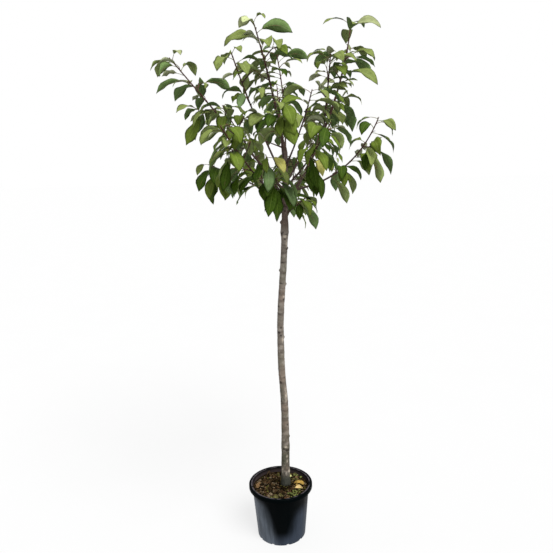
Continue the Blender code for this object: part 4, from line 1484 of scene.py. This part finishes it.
def bent_leaf(leaf, bend):
    """The pattern's points, laid along the leaf's own arc."""
    across, along, below = pattern_places.T
    shares = (leaf.petiole + along * leaf.length) / (leaf.petiole + leaf.length)
    points, sides, normals = leaf_line(leaf, shares)
    twist = (bend.twist * along)[:, None]
    sides, normals = (
        np.cos(twist) * sides + np.sin(twist) * normals,
        np.cos(twist) * normals - np.sin(twist) * sides,
    )
    widest = BROADER * leaf.width / 2
    half = widest * np.interp(along, OUTLINE_ALONG, OUTLINE_HALF)
    fold = bend.fold * (1 - FOLD_EASE * along)
    count, phase = bend.waves
    phases = 2 * math.pi * count * along + phase + EDGE_SHIFT * np.sign(across)
    margin = bend.wave * leaf.width * np.sin(phases)
    out = across * half * np.cos(fold)
    lift = np.abs(across) * half * np.sin(fold) - bend.cup * half * across**2 * np.abs(across)
    lift += margin * across**2 * np.minimum(half / widest * EDGE_EASE, 1) + below * BLADE_THICKNESS
    lift -= bend.hook * leaf.length * np.clip((along - HOOK_START) / HOOK_REACH, 0, 1) ** 2
    return points + out[:, None] * sides + lift[:, None] * normals


def lay_leaves(work, leaves, bends, skins):
    """Adds a leaf for each row. skins are the material numbers of its top and its underside."""
    first_vert, first_face = len(work.verts), len(work.faces)
    for _ in leaves:
        work.from_mesh(pattern)
    work.verts.ensure_lookup_table()
    work.faces.ensure_lookup_table()
    for number, (leaf, bend, skin) in enumerate(zip(leaves, bends, skins)):
        start = first_vert + number * len(pattern.vertices)
        for index, place in enumerate(bent_leaf(leaf, bend)):
            work.verts[start + index].co = place
        start = first_face + number * len(pattern.polygons)
        for index in range(start, start + len(pattern.polygons)):
            work.faces[index].material_index = skin[work.faces[index].material_index]


trial_points = bent_leaf(trial, trial_bend)
print("the trial leaf is", round(1000 * np.ptp(trial_points[:, 2]), 1), "mm tall as it hangs")

# %% [markdown]
# Cherry leaves are dark and faintly glossy above, and paler, greyer and matt below. Darker and
# lighter copies of the upper skin are dealt out as painted shade and light: brighter towards the
# top and the outside, darker low and near the middle of the crown. The newest are lighter and
# yellower, and a few old ones inside the crown have turned yellow. The undersides are made paler
# still, as painted light shining through. A few leaves get a painted reflection of the sky, which
# gives them a blue cast. A colour that depends on a leaf's place is dealt out as a material of
# its own.
# Within a leaf the veins show: a rib along the middle and pairs of side veins that slant
# towards the tip, drawn on the leaf's own chart.

# %% Leaf skins
RIB_EDGE = (0.03, 0.10)
VEIN_SLANT = 0.16
VEIN_TURNS = 56
RIB_SHARE = 0.75
VEIN_SHARE = 0.28


def leaf_skin(name, color, vein, roughness, specular, height, shaded=0.78):
    """shaded is the share of the colour that is left in a leaf's darker blotches."""
    skin = Recipe(name, color, roughness, specular)
    chart = skin.node("ShaderNodeUVMap", {"uv_map": "leaf"}, {})
    across = abs(skin.node("ShaderNodeSeparateXYZ", {}, {0: chart}, 0) - 0.5) * 2
    along = skin.node("ShaderNodeSeparateXYZ", {}, {0: chart}, 1)
    rib = 1 - skin.mask(across, *RIB_EDGE)
    slant = skin.math("SINE", (along - across * VEIN_SLANT) * VEIN_TURNS, 0)
    veins = skin.mask(slant, 0.72, 1)
    blotch = skin.mask(skin.speckle(60, 3), 0.35, 0.7)
    shade = tuple(shaded * part for part in color)
    tone = skin.mix(blotch, shade, color)
    tone = skin.mix(rib * RIB_SHARE + veins * VEIN_SHARE, tone, vein)
    finish = {"Base Color": tone, "Roughness": roughness + blotch * 0.1}
    return skin.finish(finish, rib + veins * 0.6, height)


print("side veins every", round(100 / (VEIN_TURNS / (2 * math.pi))), "% of a blade's length")

# %% The leaves' colours
GLOSS = 0.04
FACE_ROUGHNESS = 0.50
UNDERSIDE_ROUGHNESS = 0.65
# The relief of the veins, turned over on the underside
VEIN_HEIGHT = 0.0004

# Upper skins from deep to fresh are darker and lighter copies: painted shade and light, fresh also
# the tint of new leaves
SKINS = {
    "deep": ((0.025, 0.050, 0.003), (0.050, 0.080, 0.010)),
    "mid": ((0.078, 0.114, 0.014), (0.108, 0.142, 0.028)),
    "bright": ((0.127, 0.160, 0.042), (0.160, 0.192, 0.064)),
    "fresh": ((0.212, 0.238, 0.110), (0.248, 0.272, 0.142)),
    # A painted reflection of the sky, for the few leaves that lie to mirror it
    "bluish": ((0.094, 0.148, 0.054), (0.128, 0.178, 0.080)),
    "yellow": ((0.410, 0.390, 0.105), (0.390, 0.400, 0.150)),
    "cream": ((0.360, 0.400, 0.200), (0.310, 0.360, 0.150)),
    # Undersides: paler than the tops, and brightened further as painted light shining through the
    # leaf
    "grey underside": ((0.165, 0.210, 0.070), (0.205, 0.242, 0.105)),
    "blue underside": ((0.095, 0.150, 0.048), (0.130, 0.178, 0.075)),
    "pale underside": ((0.285, 0.312, 0.185), (0.325, 0.352, 0.225)),
}
SKIN_NUMBERS = {name: number for number, name in enumerate(SKINS)}
skin_materials = []
for name, (color, vein) in SKINS.items():
    if "underside" in name:
        roughness, height = UNDERSIDE_ROUGHNESS, -VEIN_HEIGHT
    else:
        roughness, height = FACE_ROUGHNESS, VEIN_HEIGHT
    skin_materials.append(leaf_skin(name + " leaf", color, vein, roughness, GLOSS, height))
print(len(skin_materials), "leaf skins")

# %% Deal out the skins
# Skins by the light a leaf would get, as painted light and shade: darker low and near the crown's
# middle
LIGHT_STEPS = (("deep", 0.30), ("mid", 0.66), ("bright", 1.02), ("fresh", 99))
LIGHT_SPREAD = 0.2
LIGHT_LOSS = 0.05
LIGHT_BY_HEIGHT = 0.75
LIGHT_BY_REACH = 0.9
LIGHT_WHEN_YOUNG = 0.35
CROWN_FOOT = 1.45
CROWN_SPAN = 0.65
# Shoot, number and skins of the leaves that turned pale or yellow, or carry a painted reflection of
# the sky
OWN_SKINS = {
    ("leader", 1): ("cream", "cream"),
    ("leader", 2): ("cream", "cream"),
    ("front_low", 1): ("yellow", "cream"),
    ("front_right", 18): ("yellow", "yellow"),
}
for name, number in (
    ("front_low", 3), ("front_low", 11), ("left_middle", 6), ("left_long", 3),
    ("upright", 0), ("upright", 12),
):
    OWN_SKINS[name, number] = ("bluish", "blue underside")
# Turns that show the faces or edges of leaves which the solids hold otherwise
TURNED_LEAVES = {
    ("leader", 1): 0.8, ("leader", 3): -0.85, ("leader", 4): -0.7,
    ("left_long", 3): 0.8, ("left_long", 19): -0.9, ("left_low", 12): -0.9,
    ("front_left", 1): -0.8, ("front_left", 14): 0.7, ("front_low", 1): 0.9,
    ("front_right", 16): 0.8, ("right", 2): 0.7, ("right", 10): -0.8,
    ("right_low", 9): -0.9, ("right_low", 14): -0.8, ("heart", 3): -0.4,
}
# The longest leaves, in shares of the solids'
LARGE_LEAVES = {("leader", 3): 1.30, ("leader", 4): 1.35, ("right", 2): 1.20, ("right", 7): 1.15}


def choose_skins(leaf, key, young, rng):
    """The numbers of a leaf's two skins: brighter towards the top and the outside, as painted light
    and shade.
    """
    if key in OWN_SKINS:
        return tuple(SKIN_NUMBERS[name] for name in OWN_SKINS[key])
    out = math.hypot(leaf.root[0] - TRUNK_TOP_X, 0.5 * leaf.root[1])
    light = LIGHT_BY_HEIGHT * (leaf.root[2] - CROWN_FOOT) / CROWN_SPAN + LIGHT_BY_REACH * out
    light += rng.gauss(0, LIGHT_SPREAD) - LIGHT_LOSS + LIGHT_WHEN_YOUNG * young
    top = next(name for name, limit in LIGHT_STEPS if light < limit)
    under = "pale underside" if young else rng.choice(("grey underside", "blue underside"))
    return SKIN_NUMBERS[top], SKIN_NUMBERS[under]


def dress_leaf(leaf, key):
    """The leaf with its own turn and size."""
    size = LARGE_LEAVES.get(key, 1)
    roll = leaf.roll + TURNED_LEAVES.get(key, 0)
    return leaf._replace(roll=roll, length=size * leaf.length, width=size * leaf.width)


print(len(OWN_SKINS), "leaves with skins of their own,", len(TURNED_LEAVES), "turned and",
      len(LARGE_LEAVES), "longer ones")

# %% Lay the leaves of every mass
YOUNG_LENGTH = 0.05
BEND_SEED = 2000

all_leaves = []
for shoot in SHOOTS:
    rng = random.Random(BEND_SEED + shoot.seed)
    old, young = grown[shoot.name][1], finer[shoot.name][1]
    leaves = [dress_leaf(leaf, (shoot.name, number)) for number, leaf in enumerate(old)] + young
    bends = [draw_bend(rng, leaf.length < YOUNG_LENGTH) for leaf in leaves]
    skins = [
        choose_skins(leaf, (shoot.name, number), number >= len(old), rng)
        for number, leaf in enumerate(leaves)
    ]
    leaf_work = bmesh.new()
    lay_leaves(leaf_work, leaves, bends, skins)
    name = "leaves_" + shoot.name
    add_piece("fine_" + name, leaf_work, skin_materials, "foliage", name)
    all_leaves += leaves
print(len(all_leaves), "leaves in all")

# %% [markdown]
# ## Petioles and buds
#
# The petiole is thin, flushed red on its sunny side, and swollen where it joins the twig. It
# goes on under the blade as the midrib. Above each petiole sits a small pointed bud.

# %% Roll the petioles
PETIOLE_RINGS = 8
PETIOLE_SIDES = 5
PETIOLE_RADIUS = 0.0011
MIDRIB_END = 0.82
FULL_LENGTH = 0.09
# Thickness at the foot, just above it, at the blade's foot and at the midrib's end
PETIOLE_TAPER = (1.5, 1.1, 0.95, 0.30)
SINK_REACH = 0.01


def petiole_limb(work, leaf):
    """The petiole and the midrib under its blade, as one limb."""
    whole = leaf.petiole + leaf.length
    end = (leaf.petiole + MIDRIB_END * leaf.length) / whole
    shares = np.array((0, 0.04, *np.linspace(0.12, end, PETIOLE_RINGS - 2)))
    points, _, normals = leaf_line(leaf, shares)
    size = min(leaf.length / FULL_LENGTH, 1)
    radii = np.interp(shares, (0, 0.05, leaf.petiole / whole, end), PETIOLE_TAPER)
    radii *= PETIOLE_RADIUS * (0.5 + 0.5 * size)
    below = np.clip((shares * whole - leaf.petiole) / SINK_REACH, 0, 1)
    below = below * (0.9 * radii + BLADE_THICKNESS)
    places, _ = limb_places(points - normals * below[:, None], radii, PETIOLE_SIDES)
    roll_limb(work, places)


stalk = Recipe("leaf stalk", (0.11, 0.11, 0.04), 0.5, 0.06)
flush = stalk.mask(stalk.speckle(35, 2), 0.46, 0.66)
stalk_color = stalk.mix(flush, (0.115, 0.140, 0.042), (0.120, 0.050, 0.034))
stalk_skin = stalk.finish({"Base Color": stalk_color}, stalk.speckle(900, 2), 0.0001)

petiole_work = bmesh.new()
for leaf in all_leaves:
    petiole_limb(petiole_work, leaf)
close_up(petiole_work)
add_piece("petioles", petiole_work, [stalk_skin], "foliage")

# %% Set the buds
BUD_RADIUS = 0.0014
BUD_LENGTH = 0.0034
BUD_TAPER = 0.35
BUD_SIDES = (7, 5)
BUD_OFF = 0.0020
BUD_LEAN = 1.1
SHOOT_BUD = 1.25
DWARF_BUD = 0.8
DWARF_THICK = 0.002


def set_bud(work, root, direction, size):
    """A pointed bud, standing on root."""
    sides, rings = BUD_SIDES
    ball = bmesh.ops.create_uvsphere(work, u_segments=sides, v_segments=rings, radius=1)["verts"]
    for vert in ball:
        vert.co.x, vert.co.y = (axis * (1 - BUD_TAPER * vert.co.z) for axis in vert.co.xy)
    bmesh.ops.scale(work, verts=ball, vec=(BUD_RADIUS * size, BUD_RADIUS * size, BUD_LENGTH * size))
    turn = Vector((0, 0, 1)).rotation_difference(Vector(direction)).to_matrix()
    bmesh.ops.rotate(work, verts=ball, cent=(0, 0, 0), matrix=turn)
    middle = Vector(root) + Vector(direction) * BUD_LENGTH * size * 0.5
    bmesh.ops.translate(work, verts=ball, vec=middle)


bud_work = bmesh.new()
for shoot in SHOOTS:
    twigs, leaves = grown[shoot.name]
    for twig in twigs + finer[shoot.name][0]:
        tip, ahead = place_on(twig.points, 0)
        size = SHOOT_BUD if twig.thick > DWARF_THICK else DWARF_BUD
        set_bud(bud_work, tip, unit(ahead), size)
    for leaf in leaves:
        points, _, normals = leaf_line(leaf, np.array((0.02, 0.10)))
        away = unit(unit(points[1] - points[0]) + BUD_LEAN * normals[0])
        set_bud(bud_work, leaf.root + away * BUD_OFF, away, 1)
bmesh.ops.recalc_face_normals(bud_work, faces=bud_work.faces)

bud = Recipe("bud scales", (0.06, 0.03, 0.02), 0.45, 0.06)
scales = bud.mask(bud.speckle(700, 2), 0.4, 0.6)
bud_color = bud.mix(scales, (0.035, 0.016, 0.012), (0.090, 0.048, 0.030))
bud_scales = bud.finish({"Base Color": bud_color}, scales, 0.0002)
add_piece("buds", bud_work, [bud_scales], "young_bark")

# %% [markdown]
# ## Compost and what lies on it
#
# The pot is filled with peat and bark chips, sunk a little at the wall. Its top could be one
# bumpy surface, but at its scale loose chips show as pieces. So a lumpy body is spun for the
# peat, and some hundreds of jittered chips and slivers lie on it, with a few curled fallen
# leaves and a weed, as on a plant that stood outdoors.

# %% The compost's body
SOIL_EDGE_HEIGHT = 0.221
CHIP_ROOM = 0.002
SOIL_FLAT_RADIUS = 0.060
SOIL_BEND_RADIUS = 0.122
LUMP_RISE = 0.0024
LUMPS_PER_METRE = 45
CRUMB_RISE = 0.0015
CRUMBS_PER_METRE = 150
# Rise, radius and reach of the ring that is heaped round the trunk
FOOT_HEAP = (0.004, 0.022, 0.009)
WALL_GAP = 0.0003
SOIL_RINGS = 36
SOIL_STEPS = 168


def wall_at(height):
    share = (height - POT_WALL) / (POT_HEIGHT - POT_WALL)
    return BASE_RADIUS - POT_WALL + (WALL_TOP_RADIUS - BASE_RADIUS) * share - WALL_GAP


def soil_top(x, y):
    """The height of the lumpy compost."""
    radius = math.hypot(x, y)
    slope = (SOIL_FLAT_RADIUS, SOIL_BEND_RADIUS)
    height = np.interp(radius, slope, (SOIL_HEIGHT, SOIL_EDGE_HEIGHT))
    lumps = LUMP_RISE * noise.noise(Vector((x * LUMPS_PER_METRE, y * LUMPS_PER_METRE, 0)))
    crumbs = CRUMB_RISE * noise.noise(Vector((x * CRUMBS_PER_METRE, y * CRUMBS_PER_METRE, 4)))
    rise, ring, reach = FOOT_HEAP
    heap = rise * math.exp(-(((math.hypot(x - TRUNK_FOOT_X, y) - ring) / reach) ** 2))
    return float(height) - CHIP_ROOM + lumps + crumbs + heap


soil_rim = wall_at(SOIL_EDGE_HEIGHT)
top_points = [(radius, SOIL_HEIGHT) for radius in np.linspace(0, soil_rim, SOIL_RINGS)]
soil_floor = POT_WALL + WALL_GAP
foot_points = [(wall_at(soil_floor), soil_floor), (0, soil_floor)]
soil_work = spin_section(top_points + foot_points, SOIL_STEPS)
for vert in soil_work.verts:
    if vert.co.z > SOIL_EDGE_HEIGHT:
        vert.co.z = soil_top(vert.co.x, vert.co.y)

peat = Recipe("peat", (0.016, 0.011, 0.007), 0.95, 0.0)
crumbs = peat.speckle(230, 6)
peat_color = peat.mix(peat.mask(crumbs, 0.44, 0.68), (0.003, 0.001, 0.0005), (0.040, 0.026, 0.011))
peat_skin = peat.finish({"Base Color": peat_color}, crumbs, 0.004)
add_piece("peat_filling", soil_work, [peat_skin], "compost", "compost")

# %% Bark of the chips
CHIP_TINTS = {
    "wet bark chip": (0.008, 0.005, 0.002),
    "brown bark chip": (0.042, 0.026, 0.011),
    "red bark chip": (0.052, 0.027, 0.012),
    "tan bark chip": (0.150, 0.090, 0.042),
    "grey bark chip": (0.120, 0.092, 0.056),
    "mossy crumb": (0.060, 0.056, 0.012),
}


def chip_bark(name, color):
    chip = Recipe(name, color, 0.85, 0.02)
    grain = chip.speckle(260, 4, (1, 1, 2.5))
    dark = tuple(0.25 * part for part in color)
    tone = chip.mix(chip.mask(grain, 0.35, 0.65), dark, color)
    return chip.finish({"Base Color": tone}, grain, 0.0015)


chip_materials = [chip_bark(name, color) for name, color in CHIP_TINTS.items()]
print(len(chip_materials), "kinds of chip")

# %% How chips differ
CHIP_SEED = 12
CHIP_SHARES = (36, 28, 12, 5, 12, 7)
CHIPS = 640
CHIP_LENGTH = (0.005, 0.017)
CHIP_BREADTH = (0.4, 0.8)
CHIP_THICKNESS = (0.0016, 0.0042)
SLIVERS = 170
SLIVER_LENGTH = (0.010, 0.024)
SLIVER_BREADTH = (0.0009, 0.0018)
SLIVER_THICKNESS = 0.0010
CHIP_TILT = (0.30, 0.25)
# Rise over the peat, in shares of a chip's thickness
CHIP_RISE = (-0.2, 0.5)
FOOT_CHIPS = 90
FOOT_CHIP_LENGTH = (0.006, 0.013)
FOOT_CHIP_BREADTH = (0.004, 0.008)
FOOT_CHIP_THICKNESS = 0.0024
FOOT_CHIP_TINTS = (0, 0, 0, 0, 1, 5)
FOOT_CHIP_TURN = 0.38
FOOT_CHIP_OFF = (-0.002, 0.009)
FOOT_CHIP_TILT = (0.8, 0.7, 0.8)
FOOT_CHIP_RISE = (0, 0.005)
CHIP_FIELD = 0.118
FOOT_ROOM = 0.025
CHIP_JITTER = 0.16
LARGE_CHIPS = (
    # x, y, size, number of its tint, rise, tilt: a flake stands against the wall on the left
    (-0.101, -0.004, (0.018, 0.004, 0.022), 3, 0.006, (-0.5, 0.15, 0.25)),
    (-0.094, 0.024, (0.016, 0.012, 0.004), 3, 0.002, (0.3, 0.2, 0.9)),
    (-0.045, 0.066, (0.012, 0.009, 0.004), 4, 0.002, (0.4, -0.2, 0.4)),
    (-0.030, 0.020, (0.015, 0.010, 0.004), 4, 0.002, (0.5, 0.1, 2.4)),
    (-0.075, -0.050, (0.012, 0.010, 0.004), 4, 0.002, (0.5, 0.2, 1.4)),
)
print(CHIPS + SLIVERS + FOOT_CHIPS + len(LARGE_CHIPS), "chips to lay")

# %% Lay the chips
def free_spot(rng, size):
    """A place on the compost, off the wall and the trunk."""
    while True:
        x, y = rng.uniform(-CHIP_FIELD, CHIP_FIELD), rng.uniform(-CHIP_FIELD, CHIP_FIELD)
        from_trunk = math.hypot(x - TRUNK_FOOT_X, y)
        if math.hypot(x, y) < CHIP_FIELD - size[0] / 2 and from_trunk > FOOT_ROOM:
            return x, y


def lay_chip(work, rng, spot, size, tint, rise, tilt):
    """One jittered block on the compost. tilt holds its turns on X, Y and Z."""
    place = Matrix.Translation((*spot, soil_top(*spot) + rise)) @ Euler(tilt).to_matrix().to_4x4()
    block = bmesh.ops.create_cube(work, size=1, matrix=place @ Matrix.Diagonal((*size, 1)))
    for vert in block["verts"]:
        vert.co += Vector([rng.uniform(-CHIP_JITTER, CHIP_JITTER) * side for side in size])
    for face in {face for vert in block["verts"] for face in vert.link_faces}:
        face.material_index = tint


chip_work = bmesh.new()
chip_draws = random.Random(CHIP_SEED)
for number in range(CHIPS + SLIVERS):
    if number < CHIPS:
        long = chip_draws.uniform(*CHIP_LENGTH)
        breadth = long * chip_draws.uniform(*CHIP_BREADTH)
        size = (long, breadth, chip_draws.uniform(*CHIP_THICKNESS))
    else:
        long = chip_draws.uniform(*SLIVER_LENGTH)
        size = (long, chip_draws.uniform(*SLIVER_BREADTH), SLIVER_THICKNESS)
    tint = chip_draws.choices(range(len(CHIP_TINTS)), CHIP_SHARES)[0]
    tilt = [chip_draws.gauss(0, spread) for spread in CHIP_TILT] + [chip_draws.uniform(0, 6.28)]
    rise = size[2] * chip_draws.uniform(*CHIP_RISE)
    lay_chip(chip_work, chip_draws, free_spot(chip_draws, size), size, tint, rise, tilt)
for number in range(FOOT_CHIPS):
    turn = 2 * math.pi * number * FOOT_CHIP_TURN
    away = trunk_radius(SOIL_HEIGHT) + chip_draws.uniform(*FOOT_CHIP_OFF)
    spot = (TRUNK_FOOT_X + away * math.cos(turn), away * math.sin(turn))
    long = chip_draws.uniform(*FOOT_CHIP_LENGTH)
    size = (long, chip_draws.uniform(*FOOT_CHIP_BREADTH), FOOT_CHIP_THICKNESS)
    tilt = [chip_draws.gauss(0, spread) for spread in FOOT_CHIP_TILT]
    tilt[2] += turn
    rise = chip_draws.uniform(*FOOT_CHIP_RISE)
    tint = chip_draws.choice(FOOT_CHIP_TINTS)
    lay_chip(chip_work, chip_draws, spot, size, tint, rise, tilt)
for x, y, size, tint, rise, tilt in LARGE_CHIPS:
    lay_chip(chip_work, chip_draws, (x, y), size, tint, rise, tilt)
chips = add_piece("bark_chips", chip_work, chip_materials, "compost")
chips.data.set_sharp_from_angle(angle=math.radians(30))

# %% Fallen leaves
FALLEN_SEED = 31
FALLEN = (
    # x, y, heading, length, skin
    (0.058, 0.074, -2.2, 0.042, "pale"),
    (0.034, 0.058, 1.0, 0.026, "olive"),
    (0.050, 0.000, -0.1, 0.052, "golden"),
    (0.060, -0.016, 0.5, 0.040, "golden"),
    (0.052, -0.036, 0.1, 0.042, "cream"),
    (0.048, 0.088, -0.3, 0.026, "olive"),
    (-0.046, -0.098, 0.1, 0.034, "olive"),
    (-0.018, -0.104, 0.5, 0.030, "olive"),
    (0.016, -0.100, 2.9, 0.026, "brown"),
    (-0.066, 0.080, 0.9, 0.030, "brown"),
)
FALLEN_SKINS = {
    "pale": ((0.44, 0.43, 0.19), (0.36, 0.37, 0.16)),
    "golden": ((0.30, 0.190, 0.045), (0.16, 0.09, 0.02)),
    "cream": ((0.48, 0.35, 0.15), (0.38, 0.25, 0.10)),
    "olive": ((0.078, 0.070, 0.022), (0.12, 0.11, 0.045)),
    "brown": ((0.040, 0.026, 0.014), (0.07, 0.045, 0.026)),
}
FALLEN_LIFT = 0.003
FALLEN_ARC = (0.6, -0.5)
FALLEN_ROLL = 0.3
FALLEN_PETIOLE = 0.008
FALLEN_BREADTH = 0.46
FALLEN_FOLD = (0.4, 0.9)
FALLEN_CUP, FALLEN_WAVE, FALLEN_WAVES, FALLEN_TWIST = -0.3, 0.12, 1.4, 0.7
FALLEN_SHADED = 0.35

fallen_draws = random.Random(FALLEN_SEED)
fallen, fallen_bends, fallen_skins = [], [], []
for x, y, heading, length, skin in FALLEN:
    root = np.array((x, y, soil_top(x, y) + FALLEN_LIFT))
    roll = fallen_draws.uniform(-FALLEN_ROLL, FALLEN_ROLL)
    size = (FALLEN_PETIOLE, length, length * FALLEN_BREADTH)
    fallen.append(Leaf(root, heading, *FALLEN_ARC, roll, *size))
    waves = (FALLEN_WAVES, fallen_draws.uniform(0, 2 * math.pi))
    fold = fallen_draws.uniform(*FALLEN_FOLD)
    fallen_bends.append(Bend(fold, FALLEN_CUP, FALLEN_WAVE, waves, FALLEN_TWIST, 0))
    number = list(FALLEN_SKINS).index(skin)
    fallen_skins.append((number, number))
fallen_work = bmesh.new()
lay_leaves(fallen_work, fallen, fallen_bends, fallen_skins)
fallen_materials = [
    leaf_skin(name + " fallen leaf", color, vein, 0.7, 0.03, 0.0003, FALLEN_SHADED)
    for name, (color, vein) in FALLEN_SKINS.items()
]
add_piece("fallen_leaves", fallen_work, fallen_materials, "foliage")

# %% The weed
# x, y and number of leaves of each rosette
WEEDS = (
    (0.056, -0.066, 5), (0.070, -0.056, 5), (0.044, -0.078, 5), (0.062, -0.080, 4),
    (0.080, -0.066, 4), (0.062, 0.062, 4), (0.086, 0.040, 3), (-0.030, -0.100, 3),
)
WEED_DEPTH = 0.001
WEED_LENGTH = (0.010, 0.017)
WEED_RISE = (0.7, 1.2)
WEED_FALL = -0.2
WEED_PETIOLE = 0.7
WEED_BREADTH = 0.62
WEED_BEND = Bend(0.2, 0.1, 0.02, (1, 0), 0, 0)
WEED_GREEN = (0.076, 0.090, 0.018)
WEED_VEIN = (0.190, 0.200, 0.090)
WEED_SHADED = 0.4

weed_leaves = []
for x, y, count in WEEDS:
    turn = fallen_draws.uniform(0, 2 * math.pi)
    for number in range(count):
        turn += LEAF_TURN
        root = np.array((x, y, soil_top(x, y) - WEED_DEPTH))
        length = fallen_draws.uniform(*WEED_LENGTH)
        rise = fallen_draws.uniform(*WEED_RISE)
        size = (length * WEED_PETIOLE, length, length * WEED_BREADTH)
        weed_leaves.append(Leaf(root, turn, rise, WEED_FALL, 0, *size))
weed_work = bmesh.new()
count = len(weed_leaves)
lay_leaves(weed_work, weed_leaves, [WEED_BEND] * count, [(0, 0)] * count)
weed_skin = leaf_skin("weed leaf", WEED_GREEN, WEED_VEIN, 0.6, 0.02, 0.0001, WEED_SHADED)
add_piece("weed_leaves", weed_work, [weed_skin], "foliage")

# %% [markdown]
# ## Finishing
#
# Nothing here may change the object's size.

# %% Finish
bpy.context.view_layer.update()
